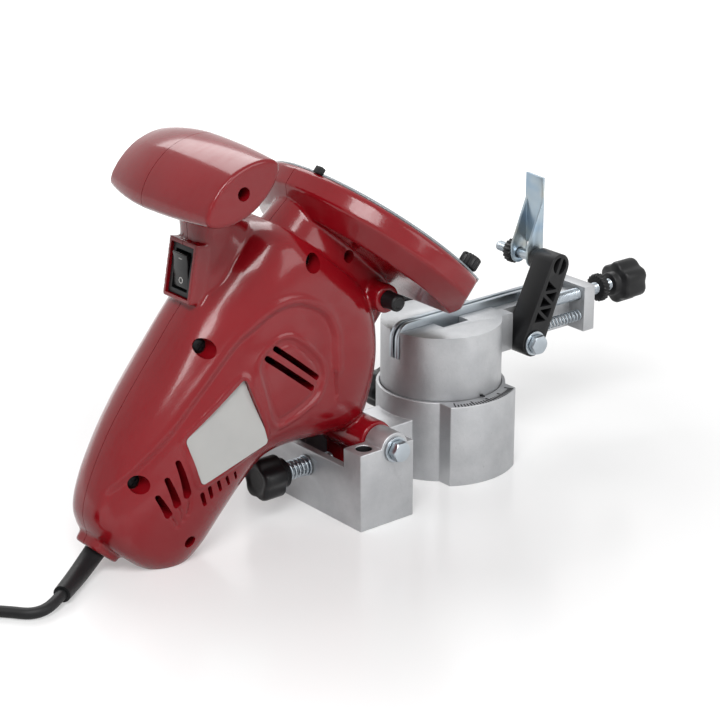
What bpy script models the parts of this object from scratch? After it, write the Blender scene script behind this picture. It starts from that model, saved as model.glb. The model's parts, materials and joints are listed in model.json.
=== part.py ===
"""Electric chainsaw sharpener: cast base, swivelling chain vise with adjustable stop,
and a tilting grinding head with T-grip, rocker switch, belt-driven wheel and mains lead.

Metres, +Z up. The origin is on the bench, under the swivel axis of the chain vise.
+Y points to the hinge block and the motor tail, +X to the knob side of the vise.
The grinding head is modelled in its own frame, which hangs on the tilt hinge: there +Y runs
to the tail along the motor axis, and +Z runs from the hinge up to the top of the housing.
"""
import math

import bmesh
import bpy
from mathutils import Matrix, Vector

for old in list(bpy.data.objects):
    bpy.data.objects.remove(old)

# General clearances and walls
GAP = 0.0003
OVERRUN = 0.010
CLEARANCE = 0.0012
ROOM = 0.0024
WELD = 0.000005
FLAT_ANGLE = math.radians(0.2)
SCREW_RADIUS = 0.0030
SCREW_HOLE_RADIUS = SCREW_RADIUS + GAP

# Cast base: round cup, scale flange, web and hinge block
CUP_RADIUS = 0.0311
CUP_HEIGHT = 0.0400
CUP_RECESS_DEPTH = 0.0015
SCALE_RADIUS = 0.0370
SCALE_HALF_WIDTH = 0.0206
SPIGOT_RADIUS = 0.0100
SPIGOT_BOTTOM = 0.0033
WEB_HALF_WIDTH = 0.0125
WEB_TOP = 0.0300
BLOCK_FRONT = 0.0541
BLOCK_REAR = 0.0849
BLOCK_HALF_WIDTH = 0.0434
LUG_INNER = 0.0310
LUG_TOP = 0.0373
BLOCK_WALL_TOP = 0.0279
BLOCK_WALL = 0.0040
CHANNEL_FLOOR = 0.0080
PIVOT_Y = 0.0652
PIVOT_Z = 0.0357
HUMP_RADIUS = 0.0077
BENCH_HOLE_RADIUS = 0.00375
BENCH_HOLE_X = 0.0370
BENCH_HOLE_Y = 0.0780

# Chain vise on the turret
TURRET_RADIUS = 0.0290
TURRET_TOP = 0.0712
RAIL_THICKNESS = 0.0022
RAIL_GAP = 0.0016
RAIL_TOP = 0.0748
RAIL_BOTTOM = 0.0580
RAIL_FRONT = -0.0750
RAIL_REAR = 0.0298
RAIL_CORNER_RADIUS = 0.0080
JAW_TRAVEL = 0.0009
WINDOW_HALF_LENGTH = 0.0080
WINDOW_HALF_WIDTH = 0.0105
WINDOW_DEPTH = 0.0060
BEAM_HALF_WIDTH = 0.0080
BEAM_BOTTOM = 0.0520
BEAM_TOP = 0.0705
END_WALL_TOP = 0.0745
STEP_X = -0.0150
STEP_FRONT = -0.0325
STEP_REAR = -0.0240
END_WALL_FRONT = -0.0840
END_WALL_REAR = -0.0770
END_WALL_NEAR = -0.0185
CLAMP_AXIS_Y = -0.0080
CLAMP_AXIS_Z = 0.0665
CLAMP_KNOB_X = 0.0320
CLAMP_KNOB_LENGTH = 0.0120
CLAMP_KNOB_RADIUS = 0.0090
LOCK_AXIS_Z = 0.0220
LOCK_KNOB_X = 0.0360
LOCK_KNOB_LENGTH = 0.0140
LOCK_KNOB_RADIUS = 0.0100
KNOB_WALL = 0.0030

# Chain stop: swinging arm, pawl and feed screw
STOP_PIVOT_Y = -0.0400
STOP_PIVOT_Z = 0.0555
STOP_PIN_Y = -0.0560
STOP_PIN_Z = 0.0908
ARM_NEAR = -0.0220
ARM_FAR = -0.0090
ARM_HUB_FAR = -0.0050
ARM_LOWER_RADIUS = 0.0070
ARM_UPPER_RADIUS = 0.0060
ARM_RIM = 0.0018
ARM_RECESS = 0.0080
ARM_RIB_STEPS = 6
HUB_RECESS = 0.0030
HUB_WEB_ANGLE = 12.0
STOP_BOLT_RADIUS = 0.0025
STOP_PIN_RADIUS = 0.0025
PIN_START_X = -0.0172
PIN_END_X = 0.0210
PAWL_NEAR = -0.0045
PAWL_FAR = 0.0075
PAWL_SHEET = 0.0012
PAWL_BACK_Y = -0.0612
PAWL_TOP = 0.1306
PAWL_TOP_SLANT = 0.0006
PAWL_LEG_TOP = 0.1180
PAWL_LEG_RADIUS = 0.0050
PAWL_NUT_RADIUS = 0.0060
PAWL_NUT_LENGTH = 0.0050
FEED_X = -0.0130
FEED_Z = 0.0700
FEED_TIP_Y = -0.0549
FEED_TIP_RADIUS = 0.0010
FEED_TAPER = 0.0025
LOCK_NUT_Y = -0.0940
LOCK_NUT_LENGTH = 0.0040
LOCK_NUT_RADIUS = 0.0070
FEED_KNOB_Y = -0.0990
FEED_KNOB_LENGTH = 0.0180
FEED_KNOB_RADIUS = 0.0106
FEED_END_Y = FEED_KNOB_Y - FEED_KNOB_LENGTH + KNOB_WALL + GAP
RETURN_SPRING_X = -0.0150
RETURN_SPRING_Z = 0.0596
RETURN_SPRING_RADIUS = 0.0024
RETURN_SPRING_WIRE = 0.0004
RETURN_SPRING_CURLS = 10

# Tilt hinge and depth stop
BARREL_RADIUS = 0.0090
PIVOT_HEAD_RADIUS = 0.0050
PIVOT_HEAD_LENGTH = 0.0040
WASHER_RADIUS = 0.0060
WASHER_THICKNESS = 0.0010
DEPTH_X = -0.0040
DEPTH_Z = 0.0200
DEPTH_TIP_Y = 0.0710
DEPTH_WASHER_RADIUS = 0.0050
DEPTH_SPRING_LENGTH = 0.0115
DEPTH_SPRING_RADIUS = 0.0041
DEPTH_SPRING_WIRE = 0.00055
DEPTH_SPRING_CURLS = 6
DEPTH_KNOB_LENGTH = 0.0160
DEPTH_KNOB_RADIUS = 0.0100
TONGUE_HALF_WIDTH = 0.0060
TONGUE_FRONT = 0.0632
TONGUE_REAR = 0.0688
TONGUE_BOTTOM = 0.0140

# Shapes that several pieces share
KNOB_COLLAR_SHARE = 0.62
KNOB_COLLAR_END_SHARE = 0.35
KNOB_GRIP_START_SHARE = 0.25
ARM_WINDOW_SHARE = 0.66
FLUTE_SHARE = 0.06
ROCKER_LOW_SHARE = 0.25
ROCKER_MIDDLE_SHARE = 0.45

# Grinding head, in the head frame
HEAD_TILT = math.radians(-48.4)
BODY_FRONT = -0.0520
BODY_LENGTH = 0.1560
BODY_HEIGHT = 0.1110
BODY_HALF_WIDTH = 0.0310
SPINDLE_Z = 0.0389
MOTOR_Z = 0.0810
NECK_FRONT = -0.0650
NECK_REAR = -0.0380
GUARD_RADIUS = 0.0600
GUARD_FRONT = -0.0809
GUARD_CHAMFER_START = -0.0710
GUARD_BACK = -0.0630
GUARD_CHAMFER = 0.0090
GUARD_BACK_RADIUS = GUARD_RADIUS - GUARD_CHAMFER
GUARD_WALL = 0.0032
GUARD_LOW = 0.0165
GUARD_CORNER = 0.0115
GUARD_CORNER_INSET = 0.0100
GUARD_CORNER_HALF_WIDTH = GUARD_RADIUS - GUARD_CORNER_INSET
COVER_INSET = 0.0028
COVER_RADIUS = GUARD_RADIUS - COVER_INSET
COVER_THICKNESS = 0.0012
COVER_BULGE = 0.0030
COVER_RIM_WIDTH = 0.0140
COVER_SCREW_X = -GUARD_CORNER_HALF_WIDTH
COVER_SCREW_Z = 0.0270
COVER_SCREW_RADIUS = 0.0018
COVER_KNOB_RADIUS = 0.0048
COVER_KNOB_LENGTH = 0.0080
COVER_BOSS_RADIUS = 0.0050
COVER_BOSS_LENGTH = 0.0040
GRIP_NEAR_LENGTH = 0.0440
GRIP_FAR_LENGTH = 0.0300
GRIP_CENTRE_Y = -0.0464
GRIP_CENTRE_Z = 0.1500
GRIP_END_HALF_CHORD = 0.0205
GRIP_END_HALF_THICKNESS = 0.0100
GRIP_SWELL = 0.0026
GRIP_PITCH = math.radians(20.0)
GRIP_WALL = 0.0026
SWITCH_Y = -0.0134
SWITCH_Z = 0.1215
SWITCH_PITCH = math.radians(-31.0)
SWITCH_HALF_WIDTH = 0.0068
SWITCH_HALF_LENGTH = 0.0098
SWITCH_DEPTH = 0.0130
SWITCH_BEZEL = 0.0009
SWITCH_RIM = 0.0012
SWITCH_FRAME_RIM = 0.0022
SWITCH_RECESS = 0.0022
ROCKER_CLEARANCE = 0.0004
ROCKER_WELL = 0.0050
ROCKER_PIVOT_DEPTH = 0.0015
ROCKER_RISE = 0.0034
LOCK_BOSS_Y = -0.0537
LOCK_BOSS_RADIUS = 0.0066
LOCK_BOSS_X = -0.0300
BUTTON_RADIUS = 0.0039
BUTTON_END_X = -0.0380
BUTTON_TIP_X = -0.0068
BUTTON_COLLAR_X = -0.0238
BUTTON_COLLAR_RADIUS = 0.0052
BUTTON_COLLAR_LENGTH = 0.0020
BUTTON_PIN_RADIUS = 0.0011
BUTTON_PIN_LENGTH = 0.0060
BUTTON_TRAVEL = 0.0040
LOCK_SOCKETS = 5
LOCK_SPRING_RADIUS = 0.0046
LOCK_SPRING_WIRE = 0.0003
LOCK_SPRING_CURLS = 4

# Body sections from its front to its tail: station, bottom, top, half width, and both exponents
BODY_SHARES = (
    (0.000, 0.330, 0.930, 0.78, 3.2, 3.2),
    (0.045, 0.255, 0.985, 0.92, 3.0, 3.8),
    (0.130, 0.160, 1.015, 0.98, 2.8, 4.6),
    (0.220, 0.070, 1.020, 1.00, 2.6, 3.8),
    (0.308, 0.000, 1.020, 1.00, 2.5, 2.8),
    (0.385, 0.080, 1.020, 1.00, 2.4, 2.4),
    (0.460, 0.220, 1.015, 0.99, 2.3, 2.3),
    (0.545, 0.335, 1.010, 0.97, 2.2, 2.3),
    (0.640, 0.365, 1.003, 0.93, 2.2, 2.4),
    (0.750, 0.370, 0.985, 0.87, 2.2, 2.5),
    (0.865, 0.375, 0.945, 0.79, 2.3, 2.7),
    (0.945, 0.405, 0.895, 0.68, 2.4, 2.8),
    (0.985, 0.470, 0.835, 0.54, 2.4, 2.6),
    (1.000, 0.560, 0.780, 0.40, 2.4, 2.4),
)
# Stem sections above the body: height, middle along Y, half length and half width
STEM_TOP = 0.0500
STEM_FRONT = -0.0240
STEM_HALF_LENGTH = 0.0270
STEM_HALF_WIDTH = 0.0160
STEM_SHARES = (
    (-0.30, 0.95, 0.95, 1.05),
    (0.02, 1.05, 0.78, 0.84),
    (0.20, 1.18, 0.66, 0.70),
    (0.42, 1.46, 0.52, 0.68),
    (0.62, 1.78, 0.48, 0.72),
    (0.80, 1.95, 0.48, 0.80),
)
STEM_EXPONENT = 2.6
# Grip sections along its length, from its near end to its far one
GRIP_SHARES = (-1.0, -0.8, -0.55, -0.28, 0.0, 0.28, 0.55, 0.8, 1.0)
GRIP_FAR_TAPER = 0.0020
GRIP_EXPONENT = 1.75
# Neck sections between the guard and the body: low, high, half width
NECK_SECTIONS = (
    (NECK_FRONT, 0.0225, 0.0940, 0.0205),
    (BODY_FRONT, 0.0170, 0.0960, 0.0225),
    (NECK_REAR, 0.0165, 0.0960, 0.0225),
)
NECK_EXPONENT = 2.3
LABEL_THICKNESS = 0.0006
# Label plate: its seat's turn and distance from the parting plane, and its outline in the head frame
LABEL_YAW = math.radians(-0.6)
LABEL_TILT = math.radians(8.3)
LABEL_FLOOR = 0.0382
LABEL_CORNERS = ((0.0125, 0.0848), (0.0190, 0.0735), (0.0250, 0.0620), (0.0293, 0.0563), (0.0604, 0.0733),
                 (0.0484, 0.0926))
# Vent slots on the near shell, in the head frame: (Y, Z) and half width of both ends
VENT_DEPTH_X = -0.0100
VENT_SLOTS = (
    ((-0.0059, 0.0786), 0.0013, (-0.0068, 0.0500), 0.0013),
    ((-0.0003, 0.0795), 0.0014, (-0.0016, 0.0498), 0.0014),
    ((0.0580, 0.0898), 0.0018, (0.0665, 0.0745), 0.0011),
    ((0.0664, 0.0888), 0.0018, (0.0735, 0.0755), 0.0010),
    ((0.0738, 0.0872), 0.0018, (0.0790, 0.0762), 0.0010),
    ((0.0478, 0.0602), 0.0007, (0.0494, 0.0566), 0.0006),
    ((0.0515, 0.0630), 0.0008, (0.0533, 0.0590), 0.0007),
    ((0.0552, 0.0658), 0.0009, (0.0574, 0.0616), 0.0008),
    ((0.0594, 0.0682), 0.0010, (0.0621, 0.0638), 0.0009),
    ((0.0635, 0.0696), 0.0011, (0.0663, 0.0647), 0.0010),
)
# Wells of the housing screws in the near shell: (Y, Z), X of the floor, and radius
SCREW_WELLS = (
    (0.0109, 0.1050, -0.0150, 0.0041),
    (-0.0457, 0.0850, -0.0200, 0.0041),
    (-0.0594, 0.0639, -0.0160, 0.0028),
    (0.0743, 0.0960, -0.0140, 0.0040),
    (0.0833, 0.0578, -0.0120, 0.0026),
)
GRIP_SCREW_RADIUS = 0.0030
GRIP_SCREW_DEPTH = 0.0120
RELIEF_SOCKET_START = 0.0930
LOCK_SPRING_END = -0.0125

# Drive, in the head frame
WHEEL_CLEARANCE = 0.0100
WHEEL_RADIUS = GUARD_RADIUS - WHEEL_CLEARANCE
WHEEL_THICKNESS = 0.0032
WHEEL_BACK = -0.0704
WHEEL_BORE = 0.0111
FLANGE_RADIUS = 0.0170
FLANGE_THICKNESS = 0.0028
FLANGE_DISH = 0.0010
SPINDLE_RADIUS = 0.0040
SPINDLE_FRONT = -0.0812
SPINDLE_BACK = -0.0325
BEARING_RADIUS = 0.0110
BEARING_WIDTH = 0.0060
FRONT_BEARING_FRONT = -0.0640
REAR_BEARING_FRONT = -0.0392
WHEEL_NUT_RADIUS = 0.0070
WHEEL_NUT_LENGTH = 0.0030
PULLEY_FRONT = -0.0480
PULLEY_WIDTH = 0.0080
PULLEY_FLANGE = 0.0008
PULLEY_LIP = 0.0012
SPINDLE_PULLEY_RADIUS = 0.0150
MOTOR_PULLEY_RADIUS = 0.0060
BELT_THICKNESS = 0.0014
STATOR_RADIUS = 0.0235
STATOR_BORE = 0.0140
STATOR_FRONT = 0.0060
STATOR_BACK = 0.0500
ARMATURE_RADIUS = 0.0132
ARMATURE_FRONT = 0.0100
ARMATURE_BACK = 0.0460
ARMATURE_SLOTS = 8
ARMATURE_SLOT_DEPTH = 0.0030
COMMUTATOR_RADIUS = 0.0080
COMMUTATOR_FRONT = 0.0530
COMMUTATOR_BACK = 0.0620
SHAFT_RADIUS = 0.0030
SHAFT_FRONT = -0.0481
SHAFT_BACK = 0.0740
MOTOR_BEARING_RADIUS = 0.0085
MOTOR_BEARING_WIDTH = 0.0060
MOTOR_FRONT_BEARING = -0.0370
MOTOR_REAR_BEARING = 0.0670
FAN_RADIUS = 0.0215
FAN_FRONT = -0.0240
FAN_DISC = 0.0020
FAN_WIDTH = 0.0120
FAN_HUB_RADIUS = 0.0070
FAN_BLADES = 9
FAN_BLADE = 0.0014
BRUSH_INNER = 0.0085
BRUSH_OUTER = 0.0195
BRUSH_HALF_WIDTH = 0.0030
BRUSH_Y = 0.0575
COLLAR_Y = 0.1050
COLLAR_Z = 0.0814
COLLAR_RADIUS = 0.0085
COLLAR_LENGTH = 0.0070

# Mains lead: strain relief, route, coil and plug
CORD_RADIUS = 0.0025
RELIEF_START_RADIUS = 0.0050
RELIEF_END_RADIUS = 0.0036
RELIEF_RING_RADIUS = 0.0043
COIL_X = -0.0020
COIL_Y = 0.3150
COIL_OUTER_RADIUS = 0.0350
COIL_RADIAL_STEP = 0.0059
COIL_LAYER_STEP = 0.0056
COIL_LAYERS = 4
COIL_TURNS_PER_LAYER = 2.5
COIL_POINTS_PER_TURN = 20
PLUG_LENGTH = 0.0340
PLUG_HALF_WIDTH = 0.0175
PLUG_HALF_HEIGHT = 0.0065
PLUG_NECK_RADIUS = 0.0045
PIN_RADIUS = 0.0020
PIN_LENGTH = 0.0190
PIN_SPACING = 0.0186
RELIEF_STEPS = 3
RELIEF_ROUTE = (
    (0.0000, 0.1892, 0.0186),
    (0.0000, 0.1946, 0.0125),
    (-0.0015, 0.2010, 0.0080),
    (-0.0060, 0.2090, 0.0056),
    (-0.0115, 0.2170, 0.0048),
    (-0.0180, 0.2260, 0.0046),
)
LEAD_ROUTE = (
    (-0.0228, 0.2360, 0.0034),
    (-0.0215, 0.2430, 0.0027),
    (-0.0150, 0.2490, 0.0026),
    (-0.0040, 0.2580, 0.0026),
    (0.0120, 0.2660, 0.0026),
    (0.0250, 0.2770, 0.0026),
    (0.0315, 0.2890, 0.0026),
)
END_ROUTE = (
    (0.0335, 0.3330, 0.0165),
    (0.0330, 0.3440, 0.0095),
    (0.0290, 0.3560, 0.0040),
    (0.0200, 0.3655, 0.0036),
    (0.0090, 0.3705, 0.0058),
)
PLUG_X = -0.0010
PLUG_Y = 0.3715
# Plug sections: share of the length, half width share, half height share
PLUG_SHARES = (
    (0.00, 0.26, 0.62),
    (0.16, 0.30, 0.70),
    (0.34, 0.72, 0.84),
    (0.50, 0.97, 0.98),
    (0.66, 1.00, 1.00),
    (0.88, 0.96, 0.98),
    (1.00, 0.90, 0.84),
)


def srgb(red, green, blue):
    """Colour as seen on screen, turned into the linear values that the shader wants."""
    return tuple(((c + 0.055) / 1.055) ** 2.4 if c > 0.04045 else c / 12.92 for c in (red, green, blue))


FINISHES = {
    "red_plastic": (srgb(0.61, 0.13, 0.16), 0.22, 0.0),
    "black_plastic": (srgb(0.10, 0.10, 0.11), 0.45, 0.0),
    "cast_aluminium": (srgb(0.70, 0.71, 0.72), 0.40, 0.9),
    "zinc_steel": (srgb(0.76, 0.79, 0.81), 0.28, 1.0),
    "dark_steel": (srgb(0.35, 0.35, 0.37), 0.40, 1.0),
    "grinding_grit": (srgb(0.78, 0.74, 0.69), 0.90, 0.0),
    "smoked_cover": (srgb(0.55, 0.57, 0.59), 0.30, 0.3),
    "silver_plate": (srgb(0.76, 0.76, 0.75), 0.45, 0.4),
    "black_rubber": (srgb(0.07, 0.07, 0.08), 0.60, 0.0),
    "carbon": (srgb(0.16, 0.16, 0.16), 0.70, 0.2),
}


def finish(name):
    """The named material, made once and shared by the pieces that have it."""
    material = bpy.data.materials.get(name)
    if material is None:
        colour, roughness, metallic = FINISHES[name]
        material = bpy.data.materials.new(name)
        material.use_nodes = True
        shader = material.node_tree.nodes["Principled BSDF"]
        shader.inputs["Base Color"].default_value = (*colour, 1.0)
        shader.inputs["Roughness"].default_value = roughness
        shader.inputs["Metallic"].default_value = metallic
    return material


# Shapes: each returns a mesh in the frame of its parent


def mesh_of(rings, closed=False):
    """Skin a list of rings, each a list of points; a ring of one point closes the end."""
    shape = bmesh.new()
    rows = [[shape.verts.new(point) for point in ring] for ring in rings]
    pairs = list(zip(rows, rows[1:]))
    if closed:
        pairs.append((rows[-1], rows[0]))
    for low, high in pairs:
        count = max(len(low), len(high))
        for i in range(count):
            j = (i + 1) % count
            corners = [low[i % len(low)], low[j % len(low)], high[j % len(high)], high[i % len(high)]]
            shape.faces.new(list(dict.fromkeys(corners)))
    if not closed:
        for row in (rows[0], rows[-1]):
            if len(row) > 2:
                shape.faces.new(row)
    bmesh.ops.recalc_face_normals(shape, faces=shape.faces)
    mesh = bpy.data.meshes.new("shape")
    shape.to_mesh(mesh)
    shape.free()
    return mesh


def turned(profile, segments=24, closed=False):
    """Solid of revolution about local Z, with flat ends; profile points are (along, radius)."""
    rings = []
    for along, radius in profile:
        angles = [2 * math.pi * i / segments for i in range(segments)]
        rings.append([(radius * math.cos(a), radius * math.sin(a), along) for a in angles])
    return mesh_of(rings, closed)


def rod(start, end, radius, segments=24):
    """Plain round bar about local Z."""
    return turned([(start, radius), (end, radius)], segments)


def ring(start, end, outer, inner, segments=24):
    """Plain round tube about local Z."""
    return turned([(start, inner), (start, outer), (end, outer), (end, inner)], segments, closed=True)


def prism(outline, low, high):
    """Outline in local XY, drawn up along Z from low to high."""
    return mesh_of([[(x, y, low) for x, y in outline], [(x, y, high) for x, y in outline]])


def arc(centre, radius, start, end, steps=12):
    """Points on an arc, in degrees, both ends included."""
    angles = [math.radians(start + (end - start) * i / steps) for i in range(steps + 1)]
    return [(centre[0] + radius * math.cos(a), centre[1] + radius * math.sin(a)) for a in angles]


def hex_outline(radius):
    """Hexagon over its corners."""
    return arc((0, 0), radius, 0, 300, 5)


def lobed_outline(radius, lobes, share, points_per_lobe=5):
    """Star-knob outline: round lobes with hollows between them."""
    count = lobes * points_per_lobe
    outline = []
    for i in range(count):
        angle = 2 * math.pi * i / count
        reach = radius * (1 - share * (0.5 - 0.5 * math.cos(lobes * angle)) ** 2)
        outline.append((reach * math.cos(angle), reach * math.sin(angle)))
    return outline


def oval(centre, half_width, half_height, exponent=2.8, count=26, low_exponent=None):
    """Superellipse outline, from an ellipse at 2 towards a rounded box above it; its lower half may differ."""
    outline = []
    for i in range(count):
        angle = 2 * math.pi * (i + 0.5) / count
        c, s = math.cos(angle), math.sin(angle)
        power = 2 / (low_exponent if low_exponent and s < 0 else exponent)
        x = math.copysign(abs(c) ** power, c)
        y = math.copysign(abs(s) ** power, s)
        outline.append((centre[0] + half_width * x, centre[1] + half_height * y))
    return outline


def box(low, high):
    """Box between two corners."""
    (x0, y0, z0), (x1, y1, z1) = low, high
    return prism([(x0, y0), (x1, y0), (x1, y1), (x0, y1)], z0, z1)


def smooth_rows(rows, steps):
    """Rows of a table, with smooth rows between them that pass through each one."""
    result = []
    for i in range(len(rows) - 1):
        before = rows[max(i - 1, 0)]
        after = rows[min(i + 2, len(rows) - 1)]
        for step in range(steps):
            t = step / steps
            row = []
            for a, b, c, d in zip(before, rows[i], rows[i + 1], after):
                pull = 3 * t * t - 2 * t * t * t
                slope = (t * (1 - t) ** 2 * (c - a) - t * t * (1 - t) * (d - b)) / 2
                row.append(b + (c - b) * pull + slope)
            result.append(tuple(row))
    result.append(tuple(rows[-1]))
    return result


# Frames: where local Z, or the plane of an outline, lies


def along_x(y=0, z=0):
    """Local X, Y, Z become Y, Z, X, at the given place."""
    return Matrix(((0, 0, 1, 0), (1, 0, 0, y), (0, 1, 0, z), (0, 0, 0, 1)))


def along_y(x=0, z=0):
    """Local X, Y, Z become Z, X, Y, at the given place."""
    return Matrix(((0, 1, 0, x), (0, 0, 1, 0), (1, 0, 0, z), (0, 0, 0, 1)))


def moved(mesh, frame):
    """The mesh, placed by a frame; a mirrored one is turned right side out again."""
    mesh.transform(frame)
    if frame.determinant() < 0:
        mesh.flip_normals()
    return mesh


def empty(name, location, pitch=0.0, parent=None):
    """A joint's frame."""
    holder = bpy.data.objects.new(name, None)
    holder.location = location
    holder.rotation_euler = (pitch, 0, 0)
    holder.parent = parent
    bpy.context.collection.objects.link(holder)
    return holder


def piece(name, mesh, look, parent=None, pivot=None, sharp=32):
    """One sub-part; pivot puts the object's origin on its joint's axis."""
    part = bpy.data.objects.new(name, mesh)
    bpy.context.collection.objects.link(part)
    part.parent = parent
    if pivot is not None:
        mesh.transform(Matrix.Translation(-Vector(pivot)))
        part.location = pivot
    mesh.materials.clear()
    mesh.materials.append(finish(look))
    mesh.shade_smooth()
    mesh.set_sharp_from_angle(angle=math.radians(sharp))
    return part


def weld(mesh):
    """Merge the near-coincident corners and the split flat faces that a cut can leave."""
    shape = bmesh.new()
    shape.from_mesh(mesh)
    bmesh.ops.remove_doubles(shape, verts=shape.verts, dist=WELD)
    bmesh.ops.dissolve_degenerate(shape, edges=shape.edges, dist=WELD)
    bmesh.ops.dissolve_limit(shape, angle_limit=FLAT_ANGLE, verts=shape.verts, edges=shape.edges)
    shape.to_mesh(mesh)
    shape.free()


def combine(part, meshes, operation):
    """Unite the part with each mesh, or cut them out of it; they lie in the frame of its parent."""
    tools = []
    for mesh in meshes:
        tool = bpy.data.objects.new("tool", mesh)
        bpy.context.collection.objects.link(tool)
        tool.parent = part.parent
        tool.hide_render = True
        tool.display_type = "WIRE"
        modifier = part.modifiers.new("shape", "BOOLEAN")
        modifier.operation = operation
        modifier.object = tool
        tools.append(tool)
    bpy.context.view_layer.update()
    graph = bpy.context.evaluated_depsgraph_get()
    part.data = bpy.data.meshes.new_from_object(part.evaluated_get(graph))
    part.modifiers.clear()
    for tool in tools:
        bpy.data.objects.remove(tool)
    weld(part.data)
    part.data.shade_smooth()
    part.data.set_sharp_from_angle(angle=math.radians(32))
    return part


def join(part, *meshes):
    """Unite meshes with the part."""
    return combine(part, meshes, "UNION")


def cut(part, *meshes):
    """Cut meshes out of the part."""
    return combine(part, meshes, "DIFFERENCE")


def wound_tube(name, points, radius, look, parent=None, sides=1, frame=None):
    """Round bar along a list of points, with flat ends."""
    curve = bpy.data.curves.new(name, "CURVE")
    curve.dimensions = "3D"
    curve.bevel_depth = radius
    curve.bevel_resolution = sides
    curve.use_fill_caps = True
    spline = curve.splines.new("POLY")
    spline.points.add(len(points) - 1)
    for target, point in zip(spline.points, points):
        target.co = (*point, 1.0)
    if frame is not None:
        curve.transform(frame)
    curve.materials.append(finish(look))
    tube = bpy.data.objects.new(name, curve)
    tube.parent = parent
    bpy.context.collection.objects.link(tube)
    return tube


def spring_points(start, length, radius, curls, wire, per_curl=8):
    """Helix about local Z that ends square against its two seats."""
    low, high = start + wire, start + length - wire
    count = curls * per_curl
    points = []
    for i in range(count + 1):
        angle = 2 * math.pi * i / per_curl
        along = low + (high - low) * i / count
        points.append((radius * math.cos(angle), radius * math.sin(angle), along))
    return points


def say_helix_gap(name, length, curls, wire):
    """Print the room between one curl and the next."""
    print(f"{name}: least gap to itself {1000 * ((length - 2 * wire) / curls - 2 * wire):.2f} mm")


# Base


def base_outline():
    """Side of the hinge block, with the round hump over each lug."""
    rise = math.degrees(math.asin((LUG_TOP - PIVOT_Z) / HUMP_RADIUS))
    hump = arc((PIVOT_Y, PIVOT_Z), HUMP_RADIUS, rise, 180 - rise, 14)
    return [(BLOCK_FRONT, 0), (BLOCK_REAR, 0), (BLOCK_REAR, LUG_TOP), *hump, (BLOCK_FRONT, LUG_TOP)]


def scale_outline():
    """Flange for the swivel scale: parallel sides and a round outer edge."""
    half = math.degrees(math.asin(SCALE_HALF_WIDTH / SCALE_RADIUS))
    return [(0, SCALE_HALF_WIDTH), *arc((0, 0), SCALE_RADIUS, 180 - half, 180 + half), (0, -SCALE_HALF_WIDTH)]


def make_base():
    """One casting: cup with scale flange, web, and hinge block with its channel and holes."""
    block = moved(prism(base_outline(), -BLOCK_HALF_WIDTH, BLOCK_HALF_WIDTH), along_x())
    part = piece("base_casting", block, "cast_aluminium")
    web = box((-WEB_HALF_WIDTH, 0, 0), (WEB_HALF_WIDTH, BLOCK_FRONT + BLOCK_WALL / 2, WEB_TOP))
    join(part, web, prism(scale_outline(), 0, CUP_HEIGHT), rod(0, CUP_HEIGHT, CUP_RADIUS, 56))
    channel = box(
        (-LUG_INNER, BLOCK_FRONT + BLOCK_WALL, CHANNEL_FLOOR),
        (LUG_INNER, BLOCK_REAR - BLOCK_WALL, LUG_TOP + OVERRUN),
    )
    saddle = box(
        (-LUG_INNER, BLOCK_FRONT - OVERRUN, BLOCK_WALL_TOP),
        (LUG_INNER, BLOCK_REAR + OVERRUN, LUG_TOP + OVERRUN),
    )
    cut(part, channel)
    cut(part, saddle)
    recess = rod(CUP_HEIGHT - CUP_RECESS_DEPTH, CUP_HEIGHT + OVERRUN, TURRET_RADIUS + GAP, 56)
    socket = rod(SPIGOT_BOTTOM - GAP, CUP_HEIGHT + OVERRUN, SPIGOT_RADIUS + GAP)
    pivot_hole = moved(
        rod(-BLOCK_HALF_WIDTH - OVERRUN, BLOCK_HALF_WIDTH + OVERRUN, SCREW_HOLE_RADIUS, 20),
        along_x(PIVOT_Y, PIVOT_Z),
    )
    lock_hole = moved(rod(0, CUP_RADIUS + OVERRUN, SCREW_HOLE_RADIUS, 20), along_x(0, LOCK_AXIS_Z))
    depth_hole = moved(
        rod(BLOCK_REAR - BLOCK_WALL - GAP, BLOCK_REAR + OVERRUN, SCREW_HOLE_RADIUS, 20),
        along_y(DEPTH_X, DEPTH_Z),
    )
    cut(part, recess, socket, pivot_hole, lock_hole, depth_hole)
    for side in (-1, 1):
        place = Matrix.Translation((side * BENCH_HOLE_X, BENCH_HOLE_Y, 0))
        cut(part, moved(rod(-OVERRUN, LUG_TOP + OVERRUN, BENCH_HOLE_RADIUS, 24), place))
    return part


# Chain vise


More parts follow.
